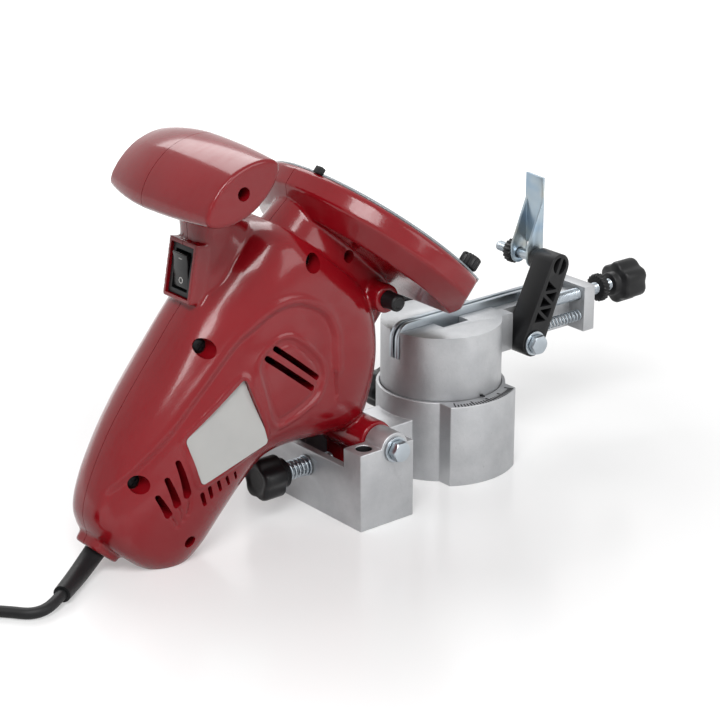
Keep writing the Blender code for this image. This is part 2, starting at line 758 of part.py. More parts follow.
def make_turret():
    """Turret and stop beam in one casting, with the rail slot and the windows under the rails."""
    seat = CUP_HEIGHT - CUP_RECESS_DEPTH + GAP
    profile = [(SPIGOT_BOTTOM, SPIGOT_RADIUS), (seat, SPIGOT_RADIUS)]
    profile += [(seat, TURRET_RADIUS), (TURRET_TOP, TURRET_RADIUS)]
    part = piece("vise_turret", turned(profile, 56), "cast_aluminium", pivot=(0, 0, 0))
    beam = box((-BEAM_HALF_WIDTH, END_WALL_REAR - GAP, BEAM_BOTTOM), (BEAM_HALF_WIDTH, 0, BEAM_TOP))
    step = box((STEP_X, STEP_FRONT, BEAM_BOTTOM), (0, STEP_REAR, BEAM_TOP))
    wall = box(
        (END_WALL_NEAR, END_WALL_FRONT, BEAM_BOTTOM - GAP),
        (BEAM_HALF_WIDTH, END_WALL_REAR, END_WALL_TOP),
    )
    join(part, beam, step, wall)
    half_slot = RAIL_GAP / 2 + RAIL_THICKNESS + GAP
    slot = box(
        (-half_slot, END_WALL_REAR + GAP, RAIL_BOTTOM - GAP),
        (half_slot, TURRET_RADIUS + OVERRUN, RAIL_TOP + OVERRUN),
    )
    window = box(
        (-WINDOW_HALF_WIDTH, -WINDOW_HALF_LENGTH, TURRET_TOP - WINDOW_DEPTH),
        (WINDOW_HALF_WIDTH, WINDOW_HALF_LENGTH, RAIL_TOP + OVERRUN),
    )
    clamp_hole = moved(rod(0, TURRET_RADIUS + OVERRUN, SCREW_HOLE_RADIUS, 20), along_x(CLAMP_AXIS_Y, CLAMP_AXIS_Z))
    feed_hole = moved(
        rod(END_WALL_FRONT - OVERRUN, END_WALL_REAR + GAP, SCREW_HOLE_RADIUS, 20),
        along_y(FEED_X, FEED_Z),
    )
    bolt_hole = moved(
        rod(-BEAM_HALF_WIDTH - OVERRUN, -half_slot - GAP, STOP_BOLT_RADIUS + GAP, 16),
        along_x(STOP_PIVOT_Y, STOP_PIVOT_Z),
    )
    cut(part, slot, window)
    return cut(part, clamp_hole, feed_hole, bolt_hole)


def rail_outline():
    """Rail plate from the side, with its rounded rear corner."""
    centre = (RAIL_REAR - RAIL_CORNER_RADIUS, RAIL_TOP - RAIL_CORNER_RADIUS)
    corner = arc(centre, RAIL_CORNER_RADIUS, 0, 90, 8)
    return [(RAIL_FRONT, RAIL_BOTTOM), (RAIL_REAR, RAIL_BOTTOM), *corner, (RAIL_FRONT, RAIL_TOP)]


def make_rails():
    """Fixed rail and moving jaw, with the slot for the chain's drive links between them."""
    near = moved(prism(rail_outline(), -RAIL_GAP / 2 - RAIL_THICKNESS, -RAIL_GAP / 2), along_x())
    far = moved(prism(rail_outline(), RAIL_GAP / 2, RAIL_GAP / 2 + RAIL_THICKNESS), along_x())
    piece("rail_fixed", near, "zinc_steel")
    piece("rail_jaw", far, "zinc_steel")


def star_knob(name, frame, near, length, radius, lobes, parent=None, share=0.22):
    """Black star knob on a blind bore; local Z runs from its mouth at near."""
    collar = radius * KNOB_COLLAR_SHARE
    part = piece(name, moved(rod(near, near + length * KNOB_COLLAR_END_SHARE, collar, 24), frame), "black_plastic", parent)
    grip_start = near + length * KNOB_GRIP_START_SHARE
    star = prism(lobed_outline(radius, lobes, share), grip_start, near + length)
    join(part, moved(star, frame))
    bore = rod(near - OVERRUN, near + length - KNOB_WALL, SCREW_HOLE_RADIUS, 20)
    return cut(part, moved(bore, frame))


def make_side_screws():
    """Chain clamp screw and swivel lock screw with their knobs, on the far side."""
    jaw = RAIL_GAP / 2 + RAIL_THICKNESS + GAP
    table = (
        ("clamp", jaw, CLAMP_AXIS_Y, CLAMP_AXIS_Z, CLAMP_KNOB_X, CLAMP_KNOB_LENGTH, CLAMP_KNOB_RADIUS),
        ("swivel_lock", SPIGOT_RADIUS + GAP, 0, LOCK_AXIS_Z, LOCK_KNOB_X, LOCK_KNOB_LENGTH, LOCK_KNOB_RADIUS),
    )
    for name, tip, aside, height, knob_x, length, radius in table:
        frame = along_x(aside, height)
        shank = rod(tip, knob_x + length - KNOB_WALL - GAP, SCREW_RADIUS, 20)
        piece(name + "_screw", moved(shank, frame), "zinc_steel", pivot=(knob_x, aside, height))
        star_knob(name + "_knob", frame, knob_x, length, radius, 6)


# Chain stop


def hull_outline(lower, lower_radius, upper, upper_radius, steps=9):
    """Two round ends joined by their outer tangents."""
    run = math.hypot(upper[0] - lower[0], upper[1] - lower[1])
    heading = math.degrees(math.atan2(upper[1] - lower[1], upper[0] - lower[0]))
    spread = math.degrees(math.acos((lower_radius - upper_radius) / run))
    low_end = arc(lower, lower_radius, heading + spread, heading + 360 - spread, steps)
    high_end = arc(upper, upper_radius, heading - spread, heading + spread, steps)
    return low_end + high_end


def make_stop_arm():
    """Moulded arm: two hubs, a rim, and cross ribs in the recess on its outer face."""
    low, high = (STOP_PIVOT_Y, STOP_PIVOT_Z), (STOP_PIN_Y, STOP_PIN_Z)
    outline = hull_outline(low, ARM_LOWER_RADIUS, high, ARM_UPPER_RADIUS)
    part = piece("stop_arm", moved(prism(outline, ARM_NEAR, ARM_FAR), along_x()), "black_plastic", pivot=(0, *low))
    boss = moved(rod(ARM_NEAR, ARM_HUB_FAR, ARM_UPPER_RADIUS - ARM_RIM / 2, 24), along_x(*high))
    join(part, boss)
    axis = Vector(high) - Vector(low)
    length = axis.length
    along = axis.normalized()
    across = Vector((-along.y, along.x))
    inner = ARM_UPPER_RADIUS - ARM_RIM / 2
    ends = (ARM_LOWER_RADIUS + ARM_RIM / 2, length - ARM_UPPER_RADIUS - ARM_RIM / 2)
    bay = (ends[1] - ends[0]) / ARM_RIB_STEPS
    origin = Vector(low)
    knots = [(ends[0] + i * bay, inner if i % 2 else -inner) for i in range(ARM_RIB_STEPS + 1)]
    pockets = []
    for corners in zip(knots, knots[1:], knots[2:]):
        middle = (sum(s for s, _ in corners) / 3, sum(w for _, w in corners) / 3)
        triangle = []
        for s, w in corners:
            s = middle[0] + (s - middle[0]) * ARM_WINDOW_SHARE
            w = middle[1] + (w - middle[1]) * ARM_WINDOW_SHARE
            point = origin + along * s + across * w
            triangle.append((point.x, point.y))
        pockets.append(moved(prism(triangle, ARM_NEAR - OVERRUN, ARM_NEAR + ARM_RECESS), along_x()))
    # A web along the arm parts the hub's recess in two.
    heading = math.degrees(math.atan2(along.y, along.x))
    for start in (heading + HUB_WEB_ANGLE, heading + HUB_WEB_ANGLE + 180):
        half = arc(high, ARM_UPPER_RADIUS - ARM_RIM, start, start + 180 - 2 * HUB_WEB_ANGLE, 8)
        pockets.append(moved(prism(half, ARM_NEAR - OVERRUN, ARM_NEAR + HUB_RECESS), along_x()))
    cut(part, *pockets)
    bolt = rod(ARM_NEAR - OVERRUN, 0, STOP_BOLT_RADIUS + GAP, 16)
    pin = rod(PIN_START_X - GAP, 0, STOP_PIN_RADIUS + GAP, 16)
    return cut(part, moved(bolt, along_x(*low)), moved(pin, along_x(*high)))


def headed_bolt(name, frame, head_start, head_end, tip, radius, head_radius):
    """Hexagon-headed bolt along local Z."""
    part = piece(name, moved(prism(hex_outline(head_radius), head_start, head_end), frame), "zinc_steel")
    return join(part, moved(rod(head_end - GAP, tip, radius, 20), frame))


def washer(name, frame, start, radius, hole, thickness=WASHER_THICKNESS):
    """Flat washer along local Z."""
    return piece(name, moved(ring(start, start + thickness, radius, hole, 18), frame), "zinc_steel")


def make_stop_hardware():
    """Arm bolt with washer, pawl pin, and the pin's knurled nut."""
    low_frame = along_x(STOP_PIVOT_Y, STOP_PIVOT_Z)
    washer_start = ARM_NEAR - GAP - WASHER_THICKNESS
    head_end = washer_start - GAP
    slot = RAIL_GAP / 2 + RAIL_THICKNESS + GAP
    headed_bolt("stop_arm_bolt", low_frame, head_end - PIVOT_HEAD_LENGTH * 0.8, head_end,
                -slot - 2 * GAP, STOP_BOLT_RADIUS, PIVOT_HEAD_RADIUS)
    washer("stop_arm_washer", low_frame, washer_start, WASHER_RADIUS, STOP_BOLT_RADIUS + GAP)
    pin_frame = along_x(STOP_PIN_Y, STOP_PIN_Z)
    piece("stop_pin", moved(rod(PIN_START_X, PIN_END_X, STOP_PIN_RADIUS, 20), pin_frame), "zinc_steel")
    nut = piece("pawl_nut", moved(prism(lobed_outline(PAWL_NUT_RADIUS, 16, FLUTE_SHARE, 3), PAWL_FAR + GAP,
                PAWL_FAR + GAP + PAWL_NUT_LENGTH), pin_frame), "black_plastic",
                pivot=(PAWL_FAR, STOP_PIN_Y, STOP_PIN_Z))
    cut(nut, moved(rod(0, PIN_END_X, STOP_PIN_RADIUS + GAP, 20), pin_frame))


def make_pawl():
    """Pressed-steel pawl: a back plate with a blade on top and two legs round the pin."""
    back = PAWL_BACK_Y + PAWL_SHEET
    blade = [(PAWL_NEAR, STOP_PIN_Z + PAWL_LEG_RADIUS), (PAWL_FAR, STOP_PIN_Z + PAWL_LEG_RADIUS)]
    blade += [(PAWL_FAR, PAWL_TOP), (PAWL_NEAR, PAWL_TOP - PAWL_TOP_SLANT)]
    outline = [(z, x) for x, z in blade]
    pin = (0, STOP_PIN_Y, STOP_PIN_Z)
    part = piece("stop_pawl", moved(prism(outline, PAWL_BACK_Y, back), along_y()), "zinc_steel", pivot=pin)
    front = STOP_PIN_Y + PAWL_LEG_RADIUS
    leg = [(PAWL_BACK_Y, PAWL_LEG_TOP), (PAWL_BACK_Y, STOP_PIN_Z)]
    leg += arc((STOP_PIN_Y, STOP_PIN_Z), PAWL_LEG_RADIUS, 180, 360, 10)[1:]
    leg += [(front, STOP_PIN_Z + PAWL_LEG_RADIUS), (back, PAWL_LEG_TOP)]
    legs = []
    for start in (PAWL_NEAR, PAWL_FAR - PAWL_SHEET):
        legs.append(moved(prism(leg, start, start + PAWL_SHEET), along_x()))
    join(part, *legs)
    hole = rod(PAWL_NEAR - OVERRUN, PAWL_FAR + OVERRUN, STOP_PIN_RADIUS + GAP, 20)
    return cut(part, moved(hole, along_x(STOP_PIN_Y, STOP_PIN_Z)))


def make_feed():
    """Feed screw with its tapered tip, lock nut, star knob and the arm's return spring."""
    frame = along_y(FEED_X, FEED_Z)
    profile = [(FEED_END_Y, SCREW_RADIUS), (FEED_TIP_Y - FEED_TAPER, SCREW_RADIUS)]
    profile += [(FEED_TIP_Y, FEED_TIP_RADIUS)]
    piece("feed_screw", moved(turned(profile, 20), frame), "zinc_steel", pivot=(FEED_X, FEED_TIP_Y, FEED_Z))
    nut = prism(lobed_outline(LOCK_NUT_RADIUS, 16, FLUTE_SHARE, 3), LOCK_NUT_Y, LOCK_NUT_Y + LOCK_NUT_LENGTH)
    lock_nut = piece("feed_lock_nut", moved(nut, frame), "black_plastic")
    cut(lock_nut, moved(rod(LOCK_NUT_Y - OVERRUN, LOCK_NUT_Y + OVERRUN, SCREW_HOLE_RADIUS, 20), frame))
    outward = along_y(FEED_X, FEED_Z) @ Matrix.Scale(-1, 4, (0, 0, 1)) @ Matrix.Scale(-1, 4, (1, 0, 0))
    star_knob("feed_knob", outward, -FEED_KNOB_Y, FEED_KNOB_LENGTH, FEED_KNOB_RADIUS, 6)
    spring_frame = along_y(RETURN_SPRING_X, RETURN_SPRING_Z)
    start = END_WALL_REAR + GAP
    rise = (RETURN_SPRING_Z - STOP_PIVOT_Z) / (STOP_PIN_Z - STOP_PIVOT_Z)
    face = STOP_PIVOT_Y + rise * (STOP_PIN_Y - STOP_PIVOT_Y) - ARM_LOWER_RADIUS - RETURN_SPRING_RADIUS
    length = face - start
    points = spring_points(start, length, RETURN_SPRING_RADIUS, RETURN_SPRING_CURLS, RETURN_SPRING_WIRE)
    wound_tube("stop_return_spring", points, RETURN_SPRING_WIRE, "zinc_steel", frame=spring_frame)
    say_helix_gap("stop return spring", length, RETURN_SPRING_CURLS, RETURN_SPRING_WIRE)


# Tilt hinge and depth stop


def make_hinge_hardware():
    """Pivot bolt with hexagon head, two washers and its nut."""
    frame = along_x(PIVOT_Y, PIVOT_Z)
    near_washer = -BLOCK_HALF_WIDTH - GAP - WASHER_THICKNESS
    far_washer = BLOCK_HALF_WIDTH + GAP
    nut_start = far_washer + WASHER_THICKNESS + GAP
    nut_end = nut_start + PIVOT_HEAD_LENGTH
    headed_bolt("pivot_bolt", frame, near_washer - GAP - PIVOT_HEAD_LENGTH, near_washer - GAP,
                nut_end + PIVOT_HEAD_LENGTH / 2, SCREW_RADIUS, PIVOT_HEAD_RADIUS)
    washer("pivot_washer_near", frame, near_washer, WASHER_RADIUS, SCREW_HOLE_RADIUS)
    washer("pivot_washer_far", frame, far_washer, WASHER_RADIUS, SCREW_HOLE_RADIUS)
    nut = piece("pivot_nut", moved(prism(hex_outline(PIVOT_HEAD_RADIUS), nut_start, nut_end), frame), "zinc_steel")
    cut(nut, moved(rod(0, nut_end + OVERRUN, SCREW_HOLE_RADIUS, 20), frame))


def make_depth_stop():
    """Depth screw through the rear wall, with washer, spring and star knob."""
    frame = along_y(DEPTH_X, DEPTH_Z)
    washer_start = BLOCK_REAR + GAP
    spring_start = washer_start + WASHER_THICKNESS + GAP
    knob_start = spring_start + DEPTH_SPRING_LENGTH + GAP
    screw_end = knob_start + DEPTH_KNOB_LENGTH - KNOB_WALL - GAP
    shank = rod(DEPTH_TIP_Y, screw_end, SCREW_RADIUS, 20)
    piece("depth_screw", moved(shank, frame), "zinc_steel", pivot=(DEPTH_X, DEPTH_TIP_Y, DEPTH_Z))
    washer("depth_washer", frame, washer_start, DEPTH_WASHER_RADIUS, SCREW_HOLE_RADIUS)
    points = spring_points(spring_start, DEPTH_SPRING_LENGTH, DEPTH_SPRING_RADIUS,
                           DEPTH_SPRING_CURLS, DEPTH_SPRING_WIRE)
    wound_tube("depth_spring", points, DEPTH_SPRING_WIRE, "zinc_steel", frame=frame)
    say_helix_gap("depth spring", DEPTH_SPRING_LENGTH, DEPTH_SPRING_CURLS, DEPTH_SPRING_WIRE)
    star_knob("depth_knob", frame, knob_start, DEPTH_KNOB_LENGTH, DEPTH_KNOB_RADIUS, 5)


# Grinding head housing


def loft_y(rows, length, low, high):
    """Stations along Y: (station, bottom, top, half width), as shares, and the upper and lower exponents."""
    rings = []
    for station, bottom, top, width, upper, lower in rows:
        middle = (bottom + top) / 2 * high
        half = (top - bottom) / 2 * high
        y = low + station * length
        section = oval((0, middle), width * BODY_HALF_WIDTH, half, upper, low_exponent=lower)
        rings.append([(x, y, z) for x, z in section])
    return mesh_of(rings)


def stem_shape():
    """Stem that rises from the body's top into the middle of the grip."""
    rings = []
    for height, middle, length, width in smooth_rows(STEM_SHARES, 2):
        z = BODY_HEIGHT + height * STEM_TOP
        centre = (0, middle * STEM_FRONT)
        section = oval(centre, width * STEM_HALF_WIDTH, length * STEM_HALF_LENGTH, STEM_EXPONENT, 24)
        rings.append([(x, y, z) for x, y in section])
    return mesh_of(rings)


def grip_shape(inset=0.0):
    """Cross grip with a lens-shaped section that swells towards its middle; its far half is shorter."""
    rings = []
    for share in GRIP_SHARES:
        swell = GRIP_SWELL * (1 - share * share) - inset - GRIP_FAR_TAPER * max(share, 0) ** 2
        section = oval((0, 0), GRIP_END_HALF_CHORD + swell, GRIP_END_HALF_THICKNESS + swell, GRIP_EXPONENT)
        x = share * ((GRIP_FAR_LENGTH if share > 0 else GRIP_NEAR_LENGTH) - inset)
        rings.append([(x, y, z) for y, z in section])
    turn = Matrix.Rotation(GRIP_PITCH, 4, "X")
    return moved(mesh_of(rings), Matrix.Translation((0, GRIP_CENTRE_Y, GRIP_CENTRE_Z)) @ turn)


def guard_shape():
    """Wheel guard: round rim, chamfered back, open front, cut off below with bevelled corners."""
    outer = [(GUARD_FRONT, GUARD_RADIUS), (GUARD_CHAMFER_START, GUARD_RADIUS)]
    outer += [(GUARD_BACK, GUARD_BACK_RADIUS)]
    frame = along_y(0, SPINDLE_Z)
    part = piece("guard", moved(turned(outer, 52), frame), "red_plastic")
    inner = [(GUARD_FRONT - OVERRUN, GUARD_RADIUS - GUARD_WALL)]
    inner += [(GUARD_CHAMFER_START - GAP, GUARD_RADIUS - GUARD_WALL)]
    inner += [(GUARD_BACK - GUARD_WALL, GUARD_BACK_RADIUS - GUARD_WALL / 2)]
    cut(part, moved(turned(inner, 52), frame))
    lug = box(
        (COVER_SCREW_X - COVER_BOSS_RADIUS, GUARD_FRONT + GAP, COVER_SCREW_Z - COVER_BOSS_RADIUS),
        (COVER_SCREW_X + COVER_BOSS_RADIUS - GUARD_WALL, GUARD_FRONT + COVER_BOSS_LENGTH,
         COVER_SCREW_Z + COVER_BOSS_RADIUS),
    )
    join(part, lug)
    cut(part, *guard_trims(GUARD_FRONT - OVERRUN, OVERRUN))
    mesh = part.data
    bpy.data.objects.remove(part)
    return mesh


def guard_trims(front, back):
    """What is cut off below the guard and its cover."""
    wide = GUARD_RADIUS + OVERRUN
    floor = box((-wide, front, SPINDLE_Z - wide), (wide, back, GUARD_LOW))
    trims = [floor]
    for side in (-1, 1):
        corner = [(side * GUARD_CORNER_HALF_WIDTH, GUARD_LOW - GAP)]
        corner += [(side * (GUARD_CORNER_HALF_WIDTH + GUARD_CORNER), GUARD_LOW + GUARD_CORNER)]
        corner += [(side * wide, GUARD_LOW + GUARD_CORNER), (side * wide, GUARD_LOW - GAP)]
        if side < 0:
            corner.reverse()
        trims.append(moved(prism([(z, x) for x, z in corner], front, back), along_y()))
    return trims


def switch_frame():
    """Frame of the switch: local Z points out of the stem."""
    return Matrix.Translation((0, SWITCH_Y, SWITCH_Z)) @ Matrix.Rotation(SWITCH_PITCH, 4, "X")


def centred_box(half_x, half_y, low, high):
    """Box about local Z."""
    return box((-half_x, -half_y, low), (half_x, half_y, high))


def belt_outline(grow):
    """Path round both pulleys, drawn in (Z, X), grown outwards."""
    low = (SPINDLE_Z, 0)
    high = (MOTOR_Z, 0)
    return hull_outline(low, SPINDLE_PULLEY_RADIUS + grow, high, MOTOR_PULLEY_RADIUS + grow, 14)


def inner_spaces():
    """Everything the housing is hollowed for, from the wheel to the tail."""
    spindle, motor = along_y(0, SPINDLE_Z), along_y(0, MOTOR_Z)
    room = SPINDLE_RADIUS + CLEARANCE
    belt_low = PULLEY_FRONT - 2 * GAP
    belt_high = PULLEY_FRONT + PULLEY_WIDTH + 2 * GAP
    fan_end = FAN_FRONT + FAN_WIDTH + ROOM
    brush_end = MOTOR_REAR_BEARING - GAP
    spaces = [
        moved(rod(GUARD_FRONT, REAR_BEARING_FRONT + BEARING_WIDTH + ROOM, room, 20), spindle),
        moved(rod(FRONT_BEARING_FRONT - ROOM, FRONT_BEARING_FRONT + BEARING_WIDTH + GAP,
                  BEARING_RADIUS + GAP), spindle),
        moved(rod(belt_high - CLEARANCE, REAR_BEARING_FRONT + BEARING_WIDTH + GAP, BEARING_RADIUS + GAP), spindle),
        moved(prism(belt_outline(BELT_THICKNESS + ROOM), belt_low, belt_high), along_y()),
        moved(rod(belt_low, STATOR_FRONT, SHAFT_RADIUS + CLEARANCE, 20), motor),
        moved(rod(MOTOR_FRONT_BEARING - GAP, MOTOR_FRONT_BEARING + MOTOR_BEARING_WIDTH + CLEARANCE,
                  MOTOR_BEARING_RADIUS + GAP), motor),
        moved(rod(FAN_FRONT - CLEARANCE, fan_end, FAN_RADIUS + CLEARANCE), motor),
        moved(rod(fan_end - CLEARANCE, STATOR_BACK + GAP, STATOR_RADIUS + GAP, 32), motor),
        moved(rod(STATOR_BACK - GAP, brush_end, BRUSH_OUTER + 2 * GAP), motor),
        moved(rod(brush_end - CLEARANCE, MOTOR_REAR_BEARING + MOTOR_BEARING_WIDTH + GAP,
                  MOTOR_BEARING_RADIUS + GAP), motor),
        moved(rod(SHAFT_BACK - OVERRUN, SHAFT_BACK + CLEARANCE, SHAFT_RADIUS + CLEARANCE, 20), motor),
        moved(rod(RELIEF_SOCKET_START, COLLAR_Y + OVERRUN, RELIEF_START_RADIUS + GAP, 20), along_y(0, COLLAR_Z)),
    ]
    switch = centred_box(SWITCH_HALF_WIDTH + GAP, SWITCH_HALF_LENGTH + GAP, -SWITCH_DEPTH - CLEARANCE, OVERRUN)
    bezel = centred_box(SWITCH_HALF_WIDTH + SWITCH_RIM + GAP, SWITCH_HALF_LENGTH + SWITCH_RIM + GAP,
                        -GAP, OVERRUN)
    spaces += [moved(switch, switch_frame()), moved(bezel, switch_frame())]
    spaces += [grip_shape(GRIP_WALL)]
    return spaces


def lock_button_bore():
    """Stepped bore for the spindle lock button and its spring."""
    profile = [(LOCK_BOSS_X - OVERRUN, BUTTON_RADIUS + GAP)]
    profile += [(BUTTON_COLLAR_X - GAP, BUTTON_RADIUS + GAP), (BUTTON_COLLAR_X - GAP, BUTTON_COLLAR_RADIUS + GAP)]
    profile += [(LOCK_SPRING_END + GAP, BUTTON_COLLAR_RADIUS + GAP), (LOCK_SPRING_END + GAP, BUTTON_RADIUS + GAP)]
    profile += [(BUTTON_TIP_X + BUTTON_TRAVEL, BUTTON_RADIUS + GAP)]
    return moved(turned(profile, 24), along_x(LOCK_BOSS_Y, SPINDLE_Z))


def slot_shape(upper, upper_radius, lower, lower_radius):
    """Cutter for one slot with round ends, through the near wall."""
    outline = hull_outline(upper, upper_radius, lower, lower_radius, 3)
    return moved(prism(outline, -BODY_HALF_WIDTH - OVERRUN, VENT_DEPTH_X), along_x())


def label_frame():
    """Frame of the label plate: local Z points out of the near side."""
    turn = Matrix.Rotation(LABEL_YAW, 4, "Z") @ Matrix.Rotation(LABEL_TILT, 4, "Y")
    return Matrix.Translation((-LABEL_FLOOR, 0, 0)) @ turn @ along_x() @ Matrix.Scale(-1, 4, (0, 0, 1))


def label_outline(inset):
    """Label plate outline, drawn in by an inset."""
    points = LABEL_CORNERS
    middle = (sum(p[0] for p in points) / len(points), sum(p[1] for p in points) / len(points))
    outline = []
    for y, z in points:
        run = math.hypot(y - middle[0], z - middle[1])
        share = (run - inset) / run
        outline.append((middle[0] + (y - middle[0]) * share, middle[1] + (z - middle[1]) * share))
    return outline


def outer_housing():
    """The closed outer form of both shells together."""
    part = piece("housing", loft_y(BODY_SHARES, BODY_LENGTH, BODY_FRONT, BODY_HEIGHT), "red_plastic", HEAD)
    rings = []
    for y, low, high, half_width in NECK_SECTIONS:
        section = oval((0, (low + high) / 2), half_width, (high - low) / 2, NECK_EXPONENT, 32)
        rings.append([(x, y, z) for x, z in section])
    neck = mesh_of(rings)
    barrel = moved(rod(-LUG_INNER + GAP, LUG_INNER - GAP, BARREL_RADIUS, 32), along_x())
    collar_start = COLLAR_Y - COLLAR_LENGTH
    collar = moved(rod(collar_start - OVERRUN, COLLAR_Y, COLLAR_RADIUS, 24), along_y(0, COLLAR_Z))
    boss = moved(rod(LOCK_BOSS_X, 0, LOCK_BOSS_RADIUS, 24), along_x(LOCK_BOSS_Y, SPINDLE_Z))
    rim = SWITCH_FRAME_RIM + SWITCH_RIM
    frame = centred_box(SWITCH_HALF_WIDTH + rim, SWITCH_HALF_LENGTH + rim, -OVERRUN, SWITCH_RECESS)
    join(part, neck, barrel, collar, boss)
    join(part, guard_shape())
    join(part, stem_shape())
    join(part, grip_shape())
    join(part, moved(frame, switch_frame()))
    tongue_up = PIVOT_Z - BARREL_RADIUS / 2
    tongue = box((DEPTH_X - TONGUE_HALF_WIDTH, TONGUE_FRONT, TONGUE_BOTTOM),
                 (DEPTH_X + TONGUE_HALF_WIDTH, TONGUE_REAR, tongue_up))
    to_head = Matrix.Rotation(-HEAD_TILT, 4, "X") @ Matrix.Translation((0, -PIVOT_Y, -PIVOT_Z))
    join(part, moved(tongue, to_head))
    return part


def make_housing():
    """Near and far shells, parted at X = 0 and hollowed for what they hold."""
    whole = outer_housing()
    pivot = moved(rod(-BLOCK_HALF_WIDTH, BLOCK_HALF_WIDTH, SCREW_HOLE_RADIUS, 20), along_x())
    cut(whole, pivot)
    for space in inner_spaces():
        cut(whole, space)
    cut(whole, lock_button_bore())
    reach = 3 * BODY_LENGTH
    for name, side in (("housing_near", -1), ("housing_far", 1)):
        shell = bpy.data.objects.new(name, whole.data.copy())
        bpy.context.collection.objects.link(shell)
        shell.parent = HEAD
        away = box((-GAP / 2, -reach, -reach), (reach, reach, reach))
        if side > 0:
            away = moved(away, Matrix.Rotation(math.pi, 4, "Z"))
        cut(shell, away)
        if side < 0:
            for slot in VENT_SLOTS:
                cut(shell, slot_shape(*slot))
            plate = prism(label_outline(-GAP), -OVERRUN, 0)
            cut(shell, moved(plate, label_frame() @ Matrix.Scale(-1, 4, (0, 0, 1))))
            for y, z, floor, radius in SCREW_WELLS:
                cut(shell, moved(rod(-BODY_HALF_WIDTH - OVERRUN, floor, radius, 16), along_x(y, z)))
            well = rod(-GRIP_NEAR_LENGTH - OVERRUN, -GRIP_NEAR_LENGTH + GRIP_SCREW_DEPTH, GRIP_SCREW_RADIUS, 16)
            cut(shell, moved(well, along_x(GRIP_CENTRE_Y, GRIP_CENTRE_Z)))
            screw = rod(GUARD_FRONT - OVERRUN, GUARD_FRONT + OVERRUN, COVER_SCREW_RADIUS + GAP, 12)
            cut(shell, moved(screw, along_y(COVER_SCREW_X, COVER_SCREW_Z)))
    bpy.data.objects.remove(whole)


def make_label():
    """Bare silver plate in its recess."""
    plate = prism(label_outline(0), GAP, GAP + LABEL_THICKNESS)
    piece("label_plate", moved(plate, label_frame()), "silver_plate", HEAD)


def make_cover():
    """Thin domed cover over the open front of the guard, with its thumb screw."""
    front = GUARD_FRONT - GAP
    flat = COVER_RADIUS - COVER_RIM_WIDTH
    profile = [(front, COVER_RADIUS), (front - COVER_THICKNESS, COVER_RADIUS)]
    profile += [(front - COVER_THICKNESS - COVER_BULGE, flat)]
    frame = along_y(0, SPINDLE_Z)
    part = piece("guard_cover", moved(turned(profile, 48), frame), "smoked_cover", HEAD)
    inner = [(front + OVERRUN, flat), (front, flat)]
    inner += [(front - COVER_BULGE, flat - COVER_THICKNESS)]
    cut(part, moved(turned(inner, 48), frame))
    cut(part, *guard_trims(front - OVERRUN, front + OVERRUN))
    screw_frame = along_y(COVER_SCREW_X, COVER_SCREW_Z)
    hole = rod(front - 2 * OVERRUN, front + OVERRUN, COVER_SCREW_RADIUS + GAP, 12)
    seat = rod(front - 2 * OVERRUN, front - COVER_THICKNESS - GAP, COVER_KNOB_RADIUS + GAP, 24)
    cut(part, moved(hole, screw_frame), moved(seat, screw_frame))
    head = front - COVER_THICKNESS - 2 * GAP
    knob = moved(prism(lobed_outline(COVER_KNOB_RADIUS, 12, FLUTE_SHARE, 3), head - COVER_KNOB_LENGTH, head), screw_frame)
    screw = piece("cover_screw", knob, "black_plastic", HEAD, pivot=(COVER_SCREW_X, head, COVER_SCREW_Z))
    shank = moved(rod(head - GAP, GUARD_FRONT + COVER_BOSS_LENGTH / 2, COVER_SCREW_RADIUS, 12), screw_frame)
    join(screw, shank)


def make_switch():
    """Rocker switch: body with bezel, and the rocker in its well."""
    frame = switch_frame()
    body = centred_box(SWITCH_HALF_WIDTH, SWITCH_HALF_LENGTH, -SWITCH_DEPTH, 0)
    part = piece("switch_body", moved(body, frame), "black_plastic", HEAD)
    bezel = centred_box(SWITCH_HALF_WIDTH + SWITCH_RIM, SWITCH_HALF_LENGTH + SWITCH_RIM, 0, SWITCH_BEZEL)
    join(part, moved(bezel, frame))
    half_x = SWITCH_HALF_WIDTH - SWITCH_RIM
    half_y = SWITCH_HALF_LENGTH - SWITCH_RIM
    cut(part, moved(centred_box(half_x, half_y, -ROCKER_WELL, OVERRUN), frame))
    clear_x = half_x - ROCKER_CLEARANCE
    clear_y = half_y - 2 * ROCKER_CLEARANCE
    low = -ROCKER_PIVOT_DEPTH - ROCKER_RISE / 2
    outline = [(-clear_y, 0), (-clear_y * 0.8, low), (clear_y * 0.8, low), (clear_y, 0)]
    outline += [(clear_y, ROCKER_RISE * ROCKER_LOW_SHARE), (0, ROCKER_RISE * ROCKER_MIDDLE_SHARE), (-clear_y, ROCKER_RISE)]
    rocker = moved(prism(outline, -clear_x, clear_x), frame @ along_x())
    pivot = frame @ Vector((0, 0, -ROCKER_PIVOT_DEPTH))
    piece("switch_rocker", rocker, "black_plastic", HEAD, pivot=pivot)


